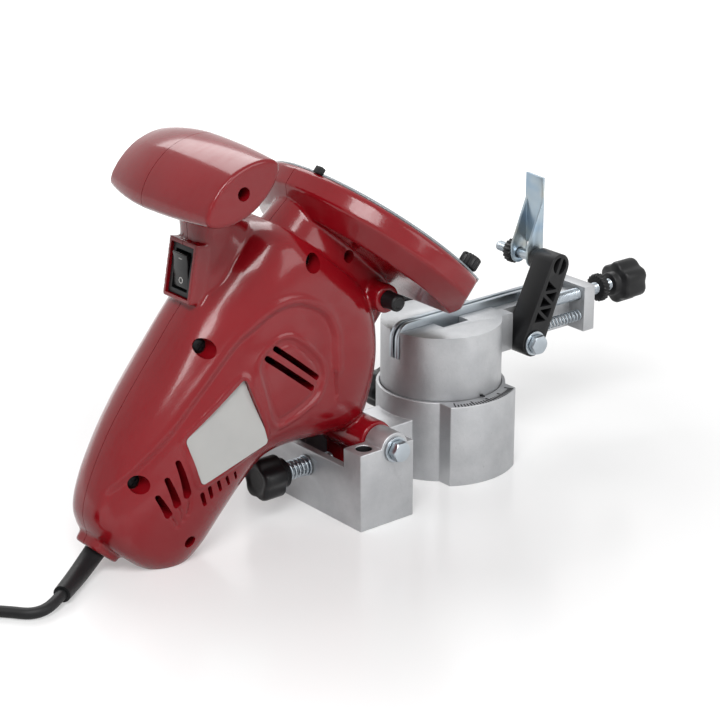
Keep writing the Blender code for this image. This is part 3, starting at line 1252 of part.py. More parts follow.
def make_lock_button():
    """Spindle lock button with its collar, pin tip and spring."""
    frame = along_x(LOCK_BOSS_Y, SPINDLE_Z)
    collar_end = BUTTON_COLLAR_X + BUTTON_COLLAR_LENGTH
    shoulder = BUTTON_TIP_X - BUTTON_PIN_LENGTH
    profile = [(BUTTON_END_X, BUTTON_RADIUS), (BUTTON_COLLAR_X, BUTTON_RADIUS)]
    profile += [(BUTTON_COLLAR_X, BUTTON_COLLAR_RADIUS), (collar_end, BUTTON_COLLAR_RADIUS)]
    profile += [(collar_end, BUTTON_RADIUS), (shoulder, BUTTON_RADIUS), (shoulder, BUTTON_PIN_RADIUS)]
    profile += [(BUTTON_TIP_X, BUTTON_PIN_RADIUS)]
    axis = (BUTTON_END_X, LOCK_BOSS_Y, SPINDLE_Z)
    piece("lock_button", moved(turned(profile, 24), frame), "black_plastic", HEAD, pivot=axis)
    start = collar_end + GAP
    length = LOCK_SPRING_END - start
    points = spring_points(start, length, LOCK_SPRING_RADIUS, LOCK_SPRING_CURLS, LOCK_SPRING_WIRE)
    wound_tube("lock_spring", points, LOCK_SPRING_WIRE, "zinc_steel", HEAD, frame=frame)


# Drive


def toothed_pulley(name, frame, radius, bore, teeth, pivot):
    """Belt pulley with teeth between two flanges."""
    low, high = PULLEY_FRONT, PULLEY_FRONT + PULLEY_WIDTH
    lip = radius + PULLEY_LIP
    part = piece(name, moved(rod(low, low + PULLEY_FLANGE, lip, 32), frame), "dark_steel", HEAD, pivot=pivot)
    core = prism(lobed_outline(radius, teeth, FLUTE_SHARE, 4), low + PULLEY_FLANGE / 2, high - PULLEY_FLANGE / 2)
    join(part, moved(core, frame), moved(rod(high - PULLEY_FLANGE, high, lip, 32), frame))
    return cut(part, moved(rod(low - OVERRUN, high + OVERRUN, bore + GAP, 20), frame))


def make_drive():
    """Belt, pulleys, bearings, spindle, flanges, wheel and nut."""
    spindle, motor = along_y(0, SPINDLE_Z), along_y(0, MOTOR_Z)
    spindle_axis, motor_axis = (0, PULLEY_FRONT, SPINDLE_Z), (0, PULLEY_FRONT, MOTOR_Z)
    toothed_pulley("spindle_pulley", spindle, SPINDLE_PULLEY_RADIUS, SPINDLE_RADIUS, 20, spindle_axis)
    toothed_pulley("motor_pulley", motor, MOTOR_PULLEY_RADIUS, SHAFT_RADIUS, 8, motor_axis)
    low = PULLEY_FRONT + PULLEY_FLANGE + GAP
    high = PULLEY_FRONT + PULLEY_WIDTH - PULLEY_FLANGE - GAP
    belt = piece("drive_belt", moved(prism(belt_outline(BELT_THICKNESS), low, high), along_y()),
                 "black_rubber", HEAD)
    cut(belt, moved(prism(belt_outline(GAP), low - OVERRUN, high + OVERRUN), along_y()))
    shaft = rod(SPINDLE_FRONT, SPINDLE_BACK, SPINDLE_RADIUS, 24)
    part = piece("spindle", moved(shaft, spindle), "dark_steel", HEAD, pivot=spindle_axis)
    middle = Matrix.Translation((0, LOCK_BOSS_Y, SPINDLE_Z))
    floor = -BUTTON_TIP_X - BUTTON_TRAVEL - GAP
    for number in range(LOCK_SOCKETS):
        turn = Matrix.Rotation(2 * math.pi * number / LOCK_SOCKETS - math.pi / 2, 4, "Y")
        cut(part, moved(rod(floor, OVERRUN, BUTTON_PIN_RADIUS + GAP, 12), middle @ turn))
    for name, start in (("spindle_bearing_front", FRONT_BEARING_FRONT), ("spindle_bearing_rear", REAR_BEARING_FRONT)):
        bearing(name, spindle, start, BEARING_WIDTH, BEARING_RADIUS, SPINDLE_RADIUS)
    flange_back = WHEEL_BACK + GAP
    hub_end = WHEEL_BACK - WHEEL_THICKNESS + GAP
    rear = [(flange_back + FLANGE_THICKNESS, FLANGE_RADIUS)]
    rear += [(flange_back, FLANGE_RADIUS), (flange_back, WHEEL_BORE - GAP), (hub_end, WHEEL_BORE - GAP)]
    part = piece("wheel_flange_rear", moved(turned(rear), spindle), "zinc_steel", HEAD, pivot=spindle_axis)
    bore = moved(rod(GUARD_FRONT, 0, SPINDLE_RADIUS + GAP, 20), spindle)
    cut(part, bore)
    front = WHEEL_BACK - WHEEL_THICKNESS - GAP
    disc = [(front - FLANGE_THICKNESS, SPINDLE_RADIUS + GAP), (front - FLANGE_THICKNESS, FLANGE_RADIUS * 0.6)]
    disc += [(front - FLANGE_DISH, FLANGE_RADIUS), (front, FLANGE_RADIUS), (front, SPINDLE_RADIUS + GAP)]
    piece("wheel_flange_front", moved(turned(disc, 32, closed=True), spindle), "zinc_steel", HEAD, pivot=spindle_axis)
    nut_back = front - FLANGE_THICKNESS - GAP
    nut = moved(prism(hex_outline(WHEEL_NUT_RADIUS), nut_back - WHEEL_NUT_LENGTH, nut_back), spindle)
    part = piece("wheel_nut", nut, "zinc_steel", HEAD, pivot=spindle_axis)
    cut(part, moved(rod(nut_back - OVERRUN, nut_back + OVERRUN, SPINDLE_RADIUS + GAP, 20), spindle))
    wheel = ring(WHEEL_BACK - WHEEL_THICKNESS, WHEEL_BACK, WHEEL_RADIUS, WHEEL_BORE, 56)
    piece("grinding_wheel", moved(wheel, spindle), "grinding_grit", HEAD, pivot=spindle_axis)


def bearing(name, frame, start, width, outer, inner):
    """Ball bearing, closed by its shields."""
    race = ring(start, start + width, outer, inner + GAP, 22)
    return piece(name, moved(race, frame), "zinc_steel", HEAD)


def make_motor():
    """Motor: stator can, armature on its shaft, fan, brushes and bearings."""
    frame = along_y(0, MOTOR_Z)
    axis = (0, SHAFT_FRONT, MOTOR_Z)
    stator = ring(STATOR_FRONT, STATOR_BACK, STATOR_RADIUS, STATOR_BORE, 32)
    piece("motor_stator", moved(stator, frame), "dark_steel", HEAD)
    shaft = rod(SHAFT_FRONT, SHAFT_BACK, SHAFT_RADIUS, 20)
    rotor = piece("motor_rotor", moved(shaft, frame), "dark_steel", HEAD, pivot=axis)
    core = lobed_outline(ARMATURE_RADIUS, ARMATURE_SLOTS, ARMATURE_SLOT_DEPTH / ARMATURE_RADIUS, 6)
    join(rotor, moved(prism(core, ARMATURE_FRONT, ARMATURE_BACK), frame),
         moved(rod(COMMUTATOR_FRONT, COMMUTATOR_BACK, COMMUTATOR_RADIUS, 24), frame))
    fan = piece("motor_fan", moved(rod(FAN_FRONT, FAN_FRONT + FAN_DISC, FAN_RADIUS, 36), frame),
                "black_plastic", HEAD, pivot=axis)
    join(fan, moved(rod(FAN_FRONT + FAN_DISC / 2, FAN_FRONT + FAN_WIDTH, FAN_HUB_RADIUS, 24), frame))
    blades = []
    for i in range(FAN_BLADES):
        turn = Matrix.Rotation(2 * math.pi * i / FAN_BLADES, 4, "Z")
        blade = box((FAN_HUB_RADIUS - FAN_BLADE, -FAN_BLADE / 2, FAN_FRONT + FAN_DISC / 2),
                    (FAN_RADIUS - FAN_BLADE, FAN_BLADE / 2, FAN_FRONT + FAN_WIDTH - FAN_BLADE))
        blades.append(moved(blade, frame @ turn))
    join(fan, *blades)
    cut(fan, moved(rod(FAN_FRONT - OVERRUN, FAN_FRONT + FAN_WIDTH + OVERRUN, SHAFT_RADIUS + GAP, 20), frame))
    for name, start in (("motor_bearing_front", MOTOR_FRONT_BEARING), ("motor_bearing_rear", MOTOR_REAR_BEARING)):
        bearing(name, frame, start, MOTOR_BEARING_WIDTH, MOTOR_BEARING_RADIUS, SHAFT_RADIUS)
    for name, side in (("motor_brush_near", -1), ("motor_brush_far", 1)):
        low, high = sorted((side * BRUSH_INNER, side * BRUSH_OUTER))
        brush = box((low, BRUSH_Y - BRUSH_HALF_WIDTH, MOTOR_Z - BRUSH_HALF_WIDTH),
                    (high, BRUSH_Y + BRUSH_HALF_WIDTH, MOTOR_Z + BRUSH_HALF_WIDTH))
        piece(name, brush, "carbon", HEAD)


# Mains lead


def smooth_points(points, spacing):
    """Points a fixed step apart on a smooth curve through the given ones."""
    dense = [Vector(p) for p in smooth_rows(points, 24)]
    result = [dense[0]]
    run = 0.0
    for before, after in zip(dense, dense[1:]):
        run += (after - before).length
        if run >= spacing:
            result.append(after)
            run = 0.0
    if (dense[-1] - result[-1]).length < spacing / 2:
        result.pop()
    result.append(dense[-1])
    return [tuple(p) for p in result]


def tube_along(points, radii, sides=16):
    """Round skin along points, with its own radius at each."""
    rings = []
    for i, (point, radius) in enumerate(zip(points, radii)):
        before, after = Vector(points[max(i - 1, 0)]), Vector(points[min(i + 1, len(points) - 1)])
        ahead = (after - before).normalized()
        across = ahead.cross(Vector((0, 0, 1))).normalized()
        up = across.cross(ahead)
        row = []
        for j in range(sides):
            angle = 2 * math.pi * (j + 0.5) / sides
            row.append(Vector(point) + radius * (math.cos(angle) * across + math.sin(angle) * up))
        rings.append(row)
    return mesh_of(rings)


def make_strain_relief():
    """Tapered rubber sleeve that bends from the tail down to the bench, with a ring at its end."""
    points = smooth_rows(RELIEF_ROUTE, RELIEF_STEPS)
    last = len(points) - 1
    radii = []
    for i in range(len(points)):
        radius = RELIEF_START_RADIUS + (RELIEF_END_RADIUS - RELIEF_START_RADIUS) * i / last
        if i == last or i == last - 1:
            radius = RELIEF_RING_RADIUS
        radii.append(radius)
    mesh = tube_along(points, radii)
    to_head = Matrix.Rotation(-HEAD_TILT, 4, "X") @ Matrix.Translation((0, -PIVOT_Y, -PIVOT_Z))
    piece("strain_relief", moved(mesh, to_head), "black_rubber", HEAD)


def coil_points():
    """Coil of four layers that spiral in and out, each climbed in the half turn where it reverses."""
    total = COIL_LAYERS * COIL_TURNS_PER_LAYER
    count = int(total * COIL_POINTS_PER_TURN)
    points = []
    for i in range(count + 1):
        turn = total * i / count
        layer = min(int(turn / COIL_TURNS_PER_LAYER), COIL_LAYERS - 1)
        inside = turn - layer * COIL_TURNS_PER_LAYER
        drawn = inside if layer % 2 == 0 else COIL_TURNS_PER_LAYER - inside
        radius = COIL_OUTER_RADIUS - drawn * COIL_RADIAL_STEP
        height = CORD_RADIUS
        for step in range(1, COIL_LAYERS):
            climb = (turn - step * COIL_TURNS_PER_LAYER) * 2 + 0.5
            height += COIL_LAYER_STEP * min(max(climb, 0), 1)
        angle = 2 * math.pi * turn
        points.append((COIL_X + radius * math.cos(angle), COIL_Y + radius * math.sin(angle), height))
    return points


def least_self_gap(points, radius, skip):
    """Least room between stretches of a wound tube that aren't neighbours along it."""
    least = None
    for i, a in enumerate(points):
        for b in points[i + skip:]:
            reach = math.dist(a, b)
            if least is None or reach < least:
                least = reach
    return least - 2 * radius


def cord_run(start, start_heading, route, end, end_heading):
    """Points from end to end that leave and arrive straight for one diameter."""
    straight = 2 * CORD_RADIUS
    first = start + start_heading * straight
    last = end - end_heading * straight
    middle = smooth_points([tuple(first), *route, tuple(last)], 2 * straight)
    return [tuple(start), *middle, tuple(end)]


def make_cord():
    """Free lead, coil and the run to the plug, in separate nodes end to end."""
    relief = [Vector(point) for point in smooth_rows(RELIEF_ROUTE, RELIEF_STEPS)]
    leaving = (relief[-1] - relief[-2]).normalized()
    coil = [Vector(point) for point in coil_points()]
    into = (coil[1] - coil[0]).normalized()
    lead = cord_run(relief[-1] + leaving * GAP, leaving, LEAD_ROUTE, coil[0] - into * GAP, into)
    wound_tube("cord_lead", lead, CORD_RADIUS, "black_rubber", sides=2)
    wound_tube("cord_coil", coil, CORD_RADIUS, "black_rubber")
    gap = least_self_gap(coil, CORD_RADIUS, COIL_POINTS_PER_TURN // 2)
    print(f"cord coil: least gap to itself {1000 * gap:.2f} mm")
    out = (coil[-1] - coil[-2]).normalized()
    plug = Vector((PLUG_X + GAP, PLUG_Y, PLUG_HALF_HEIGHT))
    run = cord_run(coil[-1] + out * GAP, out, END_ROUTE, plug, Vector((-1, 0, 0)))
    wound_tube("cord_end", run, CORD_RADIUS, "black_rubber", sides=2)
    for name, points in (("lead", lead), ("coil", coil), ("end", run)):
        length = sum(math.dist(a, b) for a, b in zip(points, points[1:]))
        print(f"cord {name}: {length:.3f} m")


def make_plug():
    """Flat two-pin plug, lying beside the coil."""
    rings = []
    for along, width, height in PLUG_SHARES:
        section = oval((0, 0), width * PLUG_HALF_WIDTH, height * PLUG_HALF_HEIGHT, 2.6, 24)
        rings.append([(x, y, along * PLUG_LENGTH) for x, y in section])
    frame = Matrix(((0, 0, -1, PLUG_X), (1, 0, 0, PLUG_Y), (0, -1, 0, PLUG_HALF_HEIGHT), (0, 0, 0, 1)))
    part = piece("plug", moved(mesh_of(rings), frame), "black_rubber")
    for side in (-1, 1):
        pin = moved(rod(PLUG_LENGTH - PIN_RADIUS, PLUG_LENGTH + PIN_LENGTH, PIN_RADIUS, 16),
                    frame @ Matrix.Translation((side * PIN_SPACING / 2, 0, 0)))
        join(part, pin)


HEAD = empty("head_frame", (0, PIVOT_Y, PIVOT_Z), HEAD_TILT)
bpy.context.view_layer.update()
make_base()
make_turret()
make_rails()
make_side_screws()
make_stop_arm()
make_stop_hardware()
make_pawl()
make_feed()
make_hinge_hardware()
make_depth_stop()
make_housing()
make_label()
make_cover()
make_switch()
make_lock_button()
make_drive()
make_motor()
make_strain_relief()
make_cord()
make_plug()
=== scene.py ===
"""Looks of an electric chainsaw sharpener: cast base and chain vise, tilting red grinding head,
guard with its cover, knobs, screws, switch and mains lead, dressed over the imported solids.

Metres, +Z up, origin on the bench under the swivel axis. Pieces of the grinding head are drawn in
the head's own frame, with Y along the motor axis to the tail and Z from the hinge to the top.
"""

import json
import math

import bmesh
import bpy
import numpy as np
from mathutils import Matrix, Vector


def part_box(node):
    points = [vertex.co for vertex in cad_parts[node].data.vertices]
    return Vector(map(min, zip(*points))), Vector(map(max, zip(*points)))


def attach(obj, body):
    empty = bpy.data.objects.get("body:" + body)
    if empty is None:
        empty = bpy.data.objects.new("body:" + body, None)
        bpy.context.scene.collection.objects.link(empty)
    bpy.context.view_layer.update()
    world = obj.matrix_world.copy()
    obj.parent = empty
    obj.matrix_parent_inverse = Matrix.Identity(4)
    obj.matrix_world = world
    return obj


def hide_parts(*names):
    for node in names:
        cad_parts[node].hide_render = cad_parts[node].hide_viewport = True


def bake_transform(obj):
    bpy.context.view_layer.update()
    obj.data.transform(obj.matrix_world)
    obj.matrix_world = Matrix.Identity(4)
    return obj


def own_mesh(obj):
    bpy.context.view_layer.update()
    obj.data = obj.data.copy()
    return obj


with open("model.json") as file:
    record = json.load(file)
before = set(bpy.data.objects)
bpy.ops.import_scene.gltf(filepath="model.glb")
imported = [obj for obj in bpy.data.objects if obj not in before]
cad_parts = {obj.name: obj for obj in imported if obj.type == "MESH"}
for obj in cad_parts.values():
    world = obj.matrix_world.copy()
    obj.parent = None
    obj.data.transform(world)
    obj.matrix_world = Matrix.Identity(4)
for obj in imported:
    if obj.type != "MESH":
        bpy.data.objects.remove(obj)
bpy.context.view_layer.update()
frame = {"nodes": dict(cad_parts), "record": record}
NODES = frame["nodes"]


def placed(at, degrees=0.0, axis="X"):
    """Frame at a point, turned about one of its own axes."""
    return Matrix.Translation(at) @ Matrix.Rotation(math.radians(degrees), 4, axis)


# Places shared with the solids; what belongs to the head is in the head's own frame
PIVOT = (0, 0.0652, 0.0357)
HEAD_PITCH = -48.4
HEAD = placed(PIVOT, HEAD_PITCH)
SPINDLE_Z = 0.0389
MOTOR_Z = 0.0810
BODY_FRONT = -0.0520
BODY_LENGTH = 0.1560
BODY_HEIGHT = 0.1110
BODY_HALF_WIDTH = 0.0310
GAP = 0.0003
SWITCH = placed((0, -0.0134, 0.1215), -31.0)
LOCK_BOSS_Y = -0.0537
RELIEF_Z = 0.0814
GRIP_PLACE = (0, -0.0464, 0.1500)
GRIP_PITCH = 20.0
GRIP_NEAR = 0.0440
GRIP_FAR = 0.0300
GUARD_FRONT = -0.0809
GUARD_RADIUS = 0.0600
GUARD_LOW = 0.0165


def added(name, data):
    """A new object in the scene."""
    made = bpy.data.objects.new(name, data)
    bpy.context.scene.collection.objects.link(made)
    return made


def linked(tree, *pairs):
    """Join each pair of an output and an input of a node tree."""
    for start, end in pairs:
        tree.links.new(start, end)


# Camera

CAMERA_RIGHT, CAMERA_UP, CAMERA_BACK = (-0.6328, -0.7743, 0), (0.2763, -0.2258, 0.9342), (-0.7233, 0.5912, 0.3568)
CAMERA_PLACE = (-0.73685, 0.65217, 0.42530)


def set_camera():
    """Camera at the photograph's own angle."""
    lens = bpy.data.cameras.new("camera")
    lens.sensor_width, lens.lens, lens.clip_start, lens.clip_end = 36, 110, 0.05, 20
    camera = added("camera", lens)
    camera.matrix_world = Matrix((*zip(CAMERA_RIGHT, CAMERA_UP, CAMERA_BACK, CAMERA_PLACE), (0, 0, 0, 1)))
    bpy.context.scene.camera = camera


# Shader sums and recipes


class Signal:
    """A number that varies over a surface, written in plain sums."""

    def __init__(self, tree, socket):
        self.tree, self.socket = tree, socket

    def worked(self, operation, first, second):
        node = self.tree.nodes.new("ShaderNodeMath")
        node.operation = operation
        for place, value in zip(node.inputs, (first, second)):
            if isinstance(value, Signal):
                self.tree.links.new(value.socket, place)
            else:
                place.default_value = value
        return Signal(self.tree, node.outputs[0])

    def __add__(self, other):
        return self.worked("ADD", self, other)

    def __radd__(self, other):
        return self.worked("ADD", other, self)

    def __rsub__(self, other):
        return self.worked("SUBTRACT", other, self)

    def __mul__(self, other):
        return self.worked("MULTIPLY", self, other)

    def __rmul__(self, other):
        return self.worked("MULTIPLY", other, self)

    def __pow__(self, other):
        return self.worked("POWER", self, other)


# Sockets of a mix node when it mixes colours; its inputs of other kinds have the same names
COLOUR_A, COLOUR_B, MIXED_COLOUR = 6, 7, 2


def linear(colour):
    """Value of a colour socket: a colour as seen on screen is turned into linear values, a number into grey."""
    if isinstance(colour, Signal):
        return colour
    if not isinstance(colour, tuple):
        return (colour, colour, colour, 1)
    return (*(((c + 0.055) / 1.055) ** 2.4 if c > 0.04045 else c / 12.92 for c in colour), 1)


class Recipe:
    """One finish in the making: its nodes, and the shader that they feed."""

    def __init__(self, name, **constants):
        self.material = bpy.data.materials.new(name)
        self.material.use_nodes = True
        self.tree = self.material.node_tree
        self.shader = self.tree.nodes["Principled BSDF"]
        for socket, value in constants.items():
            self.shader.inputs[socket.replace("_", " ")].default_value = value
        self.place = self.node("ShaderNodeTexCoord", output="Object")

    def node(self, kind, sockets=None, output=0, stops=(), **settings):
        """Add a node: its settings and ramp stops first, then the values or links of its sockets."""
        made = self.tree.nodes.new(kind)
        for key, value in settings.items():
            setattr(made, key, value)
        if stops:
            ramp = made.color_ramp
            while len(ramp.elements) < len(stops):
                ramp.elements.new(0.5)
            for element, (at, colour) in zip(ramp.elements, stops):
                element.position, element.color = at, linear(colour)
        for key, value in (sockets or {}).items():
            if isinstance(value, Signal):
                self.tree.links.new(value.socket, made.inputs[key])
            else:
                made.inputs[key].default_value = value
        return Signal(self.tree, made.outputs[output])

    def grain(self, scale, detail=3.0, roughness=0.55, stretch=None):
        """Noise over the surface, scale in cycles per metre, drawn out by stretch."""
        place = self.place
        if stretch:
            place = self.node("ShaderNodeMapping", {"Vector": place, "Scale": stretch})
        sockets = {"Vector": place, "Scale": scale, "Detail": detail, "Roughness": roughness}
        return self.node("ShaderNodeTexNoise", sockets, "Fac")

    def ramp(self, signal, *stops):
        """Colours or greys between stops, each a place from 0 to 1 and its colour."""
        return self.node("ShaderNodeValToRGB", {"Fac": signal}, stops=stops)

    def mix(self, factor, first, second):
        """Colour between two, by a signal."""
        sockets = {"Factor": factor, COLOUR_A: linear(first), COLOUR_B: linear(second)}
        return self.node("ShaderNodeMix", sockets, MIXED_COLOUR, data_type="RGBA")

    def axis(self, name, source=None):
        return self.node("ShaderNodeSeparateXYZ", {"Vector": source or self.place}, name)

    def reach(self):
        """Distance from the Z axis."""
        x, y = self.axis("X"), self.axis("Y")
        return (x * x + y * y) ** 0.5

    def feed(self, socket, signal):
        self.tree.links.new(signal.socket, self.shader.inputs[socket])

    def bump(self, height, depth, strength, under=None):
        """Raise the surface by a signal of 0 to 1, depth in metres."""
        sockets = {"Height": height, "Distance": depth, "Strength": strength}
        if under:
            sockets["Normal"] = under
        lifted = self.node("ShaderNodeBump", sockets)
        self.feed("Normal", lifted)
        return lifted


def red_plastic():
    """Glossy deep red moulding: faint flow marks, fine scuffs and a slow waviness."""
    made = Recipe("red_plastic", IOR=1.48, Specular_IOR_Level=0.30, Coat_Roughness=0.05)
    flow = made.grain(38, detail=2.0, stretch=(1.0, 0.35, 1.0))
    made.feed("Base Color", made.mix(flow, (0.475, 0.038, 0.074), (0.545, 0.058, 0.098)))
    scuff = made.grain(420, detail=5.0, roughness=0.7, stretch=(1.0, 0.12, 0.4))
    scuff = made.ramp(scuff, (0.46, 0.0), (0.74, 1.0))
    made.feed("Roughness", 0.13 + 0.09 * scuff + 0.04 * made.grain(1500, detail=2.0))
    made.feed("Coat Weight", 0.24 - 0.14 * scuff)
    slow = made.bump(made.grain(26, detail=1.0), depth=0.0010, strength=0.35)
    made.bump(made.grain(1900, detail=2.0), depth=0.00004, strength=0.5, under=slow)
    return made.material


def even_finish(name, low, high, rough, uneven, scales, depth, strength, detail=2.0, **constants):
    """Cloudy colour from low to high, roughness from rough up by uneven, and a fine grain.

    The three scales are those of the clouds, of the roughness and of the grain.
    """
    clouds, wear, pores = scales
    made = Recipe(name, **constants)
    made.feed("Base Color", made.mix(made.grain(clouds), low, high))
    made.feed("Roughness", rough + uneven * made.grain(wear))
    made.bump(made.grain(pores, detail), depth, strength)
    return made.material


def brushed_finish(name, low, high, rough, uneven, clouds, lines, stretch, **constants):
    """Cloudy colour from low to high, with fine lines drawn out by stretch."""
    made = Recipe(name, **constants)
    made.feed("Base Color", made.mix(made.grain(clouds), low, high))
    brushed = made.grain(lines, roughness=0.6, stretch=stretch)
    made.feed("Roughness", rough + uneven * brushed)
    made.bump(brushed, depth=0.00003, strength=0.4)
    return made.material


def black_plastic(name, low, rough):
    """Black moulding with a fine spark-eroded grain."""
    high = tuple(c + 0.030 for c in low)
    return even_finish(name, low, high, rough, uneven=0.12, scales=(90, 700, 2600), depth=0.00005, strength=0.6,
                       Specular_IOR_Level=0.28)


def plain_metal(name, low, high, rough, metallic=1.0):
    """Machined or wound metal inside the housing."""
    return even_finish(name, low, high, rough, uneven=0.12, scales=(240, 800, 1500), depth=0.00004, strength=0.5,
                       detail=3.0, Metallic=metallic)


def cast_aluminium():
    """Cast grey alloy: open grain, faint pores and stains, with fine turning rings on faces that look up."""
    made = Recipe("cast_aluminium", Metallic=0.80)
    stain = made.grain(55, detail=4.0, roughness=0.6)
    tone = made.ramp(stain, (0.30, (0.660, 0.665, 0.675)), (0.70, (0.730, 0.735, 0.742)))
    pores = made.ramp(made.grain(1400, detail=4.0, roughness=0.7), (0.28, 0.0), (0.38, 1.0))
    made.feed("Base Color", made.mix(pores, (0.58, 0.58, 0.59), tone))
    made.feed("Roughness", 0.40 + 0.16 * made.grain(260, detail=4.0))
    rings = made.node("ShaderNodeMath", {0: made.reach() * 9000.0}, operation="SINE")
    up = made.axis("Z", made.node("ShaderNodeNewGeometry", output="Normal"))
    turned_faces = made.ramp(up, (0.95, 0.0), (0.985, 1.0)) * (0.5 + 0.5 * rings)
    coarse = made.bump(made.grain(480, detail=4.0, roughness=0.6), depth=0.00022, strength=0.5)
    made.bump(turned_faces * 0.5 + made.grain(2400), depth=0.00006, strength=0.6, under=coarse)
    return made.material


def pawl_steel():
    """Pressed sheet with a bluish passivated plate that clouds towards straw."""
    made = Recipe("passivated_steel", Metallic=0.8)
    stops = ((0.30, (0.55, 0.63, 0.70)), (0.52, (0.64, 0.69, 0.72)), (0.74, (0.72, 0.71, 0.66)))
    made.feed("Base Color", made.ramp(made.grain(70, detail=2.0), *stops))
    made.feed("Roughness", 0.24 + 0.12 * made.grain(500))
    made.bump(made.grain(1400), depth=0.00003, strength=0.5)
    return made.material


def grinding_grit():
    """Open abrasive grain, beige grey."""
    made = Recipe("grinding_grit", Roughness=0.92)
    speck = made.node("ShaderNodeTexVoronoi", {"Vector": made.place, "Scale": 2200.0}, "Distance")
    grain = made.grain(3200)
    made.feed("Base Color", made.mix(grain, (0.50, 0.46, 0.41), (0.80, 0.75, 0.68)))
    made.bump(speck + grain, depth=0.00014, strength=0.8)
    return made.material


def smoked_cover():
    """Thin smoked sheet, greyish and half clear."""
    made = Recipe("smoked_cover", Roughness=0.12, IOR=1.45)
    haze = made.grain(60)
    made.feed("Base Color", made.mix(haze, (0.50, 0.53, 0.56), (0.62, 0.65, 0.67)))
    made.feed("Alpha", 0.72 + 0.10 * haze)
    made.bump(made.grain(900, detail=2.0), depth=0.00003, strength=0.4)
    return made.material


def white_ink():
    """Printed or moulded marks."""
    made = Recipe("white_marks", Roughness=0.5)
    made.feed("Base Color", made.mix(made.grain(1200, detail=2.0), (0.74, 0.74, 0.73), (0.86, 0.86, 0.85)))
    return made.material


RED = red_plastic()
BLACK = black_plastic("black_plastic", (0.060, 0.060, 0.066), 0.35)
GLOSS_BLACK = black_plastic("glossy_black", (0.045, 0.045, 0.050), 0.17)
SCALE_PAINT = black_plastic("scale_paint", (0.09, 0.09, 0.095), 0.75)
RUBBER = even_finish("black_rubber", (0.048, 0.048, 0.055), (0.085, 0.085, 0.090), rough=0.42, uneven=0.16,
                     scales=(160, 900, 2200), depth=0.00005, strength=0.5, Specular_IOR_Level=0.28)
CAST = cast_aluminium()
ZINC = brushed_finish("zinc_steel", (0.60, 0.63, 0.66), (0.74, 0.77, 0.79), rough=0.24, uneven=0.14,
                      clouds=120, lines=900, stretch=(6.0, 0.5, 6.0), Metallic=1.0)
SILVER = brushed_finish("silver_plate", (0.680, 0.680, 0.675), (0.740, 0.740, 0.730), rough=0.34, uneven=0.16,
                        clouds=60, lines=1300, stretch=(1.0, 0.15, 4.0), Specular_IOR_Level=0.20)
PAWL = pawl_steel()
GRIT = grinding_grit()
SMOKED = smoked_cover()
INK = white_ink()
# Dark steel of real parts, and also painted shade inside the base's bolt holes
DARK_STEEL_AND_BORE_SHADE = plain_metal("dark_steel", (0.20, 0.20, 0.21), (0.34, 0.34, 0.35), 0.36)
# Near-black screws for the housing's wells: their darkness is painted shade of the deep wells
WELL_SHADE_SCREWS = plain_metal("screws_painted_as_well_shade", (0.05, 0.05, 0.055), (0.10, 0.10, 0.105), 0.45, 0.8)
IRON = plain_metal("laminated_iron", (0.26, 0.26, 0.27), (0.40, 0.39, 0.38), 0.45)
CARBON = plain_metal("carbon", (0.10, 0.10, 0.10), (0.18, 0.18, 0.18), 0.60, 0.1)


# Shapes

SHARP_END = 0.00002  # a smaller radius is a point
LARGEST_SHARE = 0.45  # of an edge that a round corner may take


def mesh_of(rings, closed=False):
    """Skin a list of rings; a ring of one point closes the end."""
    shape = bmesh.new()
    rows = [[shape.verts.new(point) for point in points] for points in rings]
    pairs = list(zip(rows, rows[1:]))
    if closed:
        pairs.append((rows[-1], rows[0]))
    for low, high in pairs:
        count = max(len(low), len(high))
        for i in range(count):
            j = (i + 1) % count
            corners = [low[i % len(low)], low[j % len(low)], high[j % len(high)], high[i % len(high)]]
            shape.faces.new(list(dict.fromkeys(corners)))
    if not closed:
        for row in (rows[0], rows[-1]):
            if len(row) > 2:
                shape.faces.new(row)
    bmesh.ops.recalc_face_normals(shape, faces=shape.faces)
    return baked(shape)


def baked(shape):
    """A mesh from an edited shape."""
    mesh = bpy.data.meshes.new("shape")
    shape.to_mesh(mesh)
    shape.free()
    return mesh


def ring(along, reaches):
    """Ring of points about local Z, as far out as each of the reaches says."""
    angles = [2 * math.pi * i / len(reaches) for i in range(len(reaches))]
    return [(reach * math.cos(a), reach * math.sin(a), along) for reach, a in zip(reaches, angles)]


def turned(profile, segments=64, closed=False):
    """Solid of revolution about local Z; profile points are (along, radius)."""
    return mesh_of([ring(along, [radius] * (segments if radius > SHARP_END else 1)) for along, radius in profile],
                   closed)


def eased(profile, radius, steps=4, loop=False):
    """The profile with each inner corner rounded."""
    count = len(profile)
    result = []
    for i, corner in enumerate(profile):
        if not loop and i in (0, count - 1):
            result.append(corner)
            continue
        here = Vector(corner)
        before, after = Vector(profile[i - 1]) - here, Vector(profile[(i + 1) % count]) - here
        reach = min(radius, LARGEST_SHARE * before.length, LARGEST_SHARE * after.length)
        first, last = here + before.normalized() * reach, here + after.normalized() * reach
        for step in range(steps + 1):
            t = step / steps
            point = first * (1 - t) ** 2 + here * 2 * t * (1 - t) + last * t * t
            result.append(tuple(point))
    return result


def rod(start, end, radius, edge=0.0, segments=48):
    """Round bar about local Z with eased ends."""
    profile = [(start, 0), (start, radius), (end, radius), (end, 0)]
    return turned(eased(profile, edge) if edge else profile, segments)


def lofted(sections, axis):
    """Solid through outlines, each given with its place along the axis: 0, 1 or 2 for X, Y or Z."""
    return mesh_of([[(*point[:axis], place, *point[axis:]) for point in outline] for place, outline in sections])


def prism(outline, low, high):
    """Outline in local XY, drawn up along Z."""
    return lofted([(low, outline), (high, outline)], 2)


def arc(centre, radius, start, end, steps):
    """Points on an arc, in degrees."""
    angles = [math.radians(start + (end - start) * i / steps) for i in range(steps + 1)]
    return [(centre[0] + radius * math.cos(a), centre[1] + radius * math.sin(a)) for a in angles]


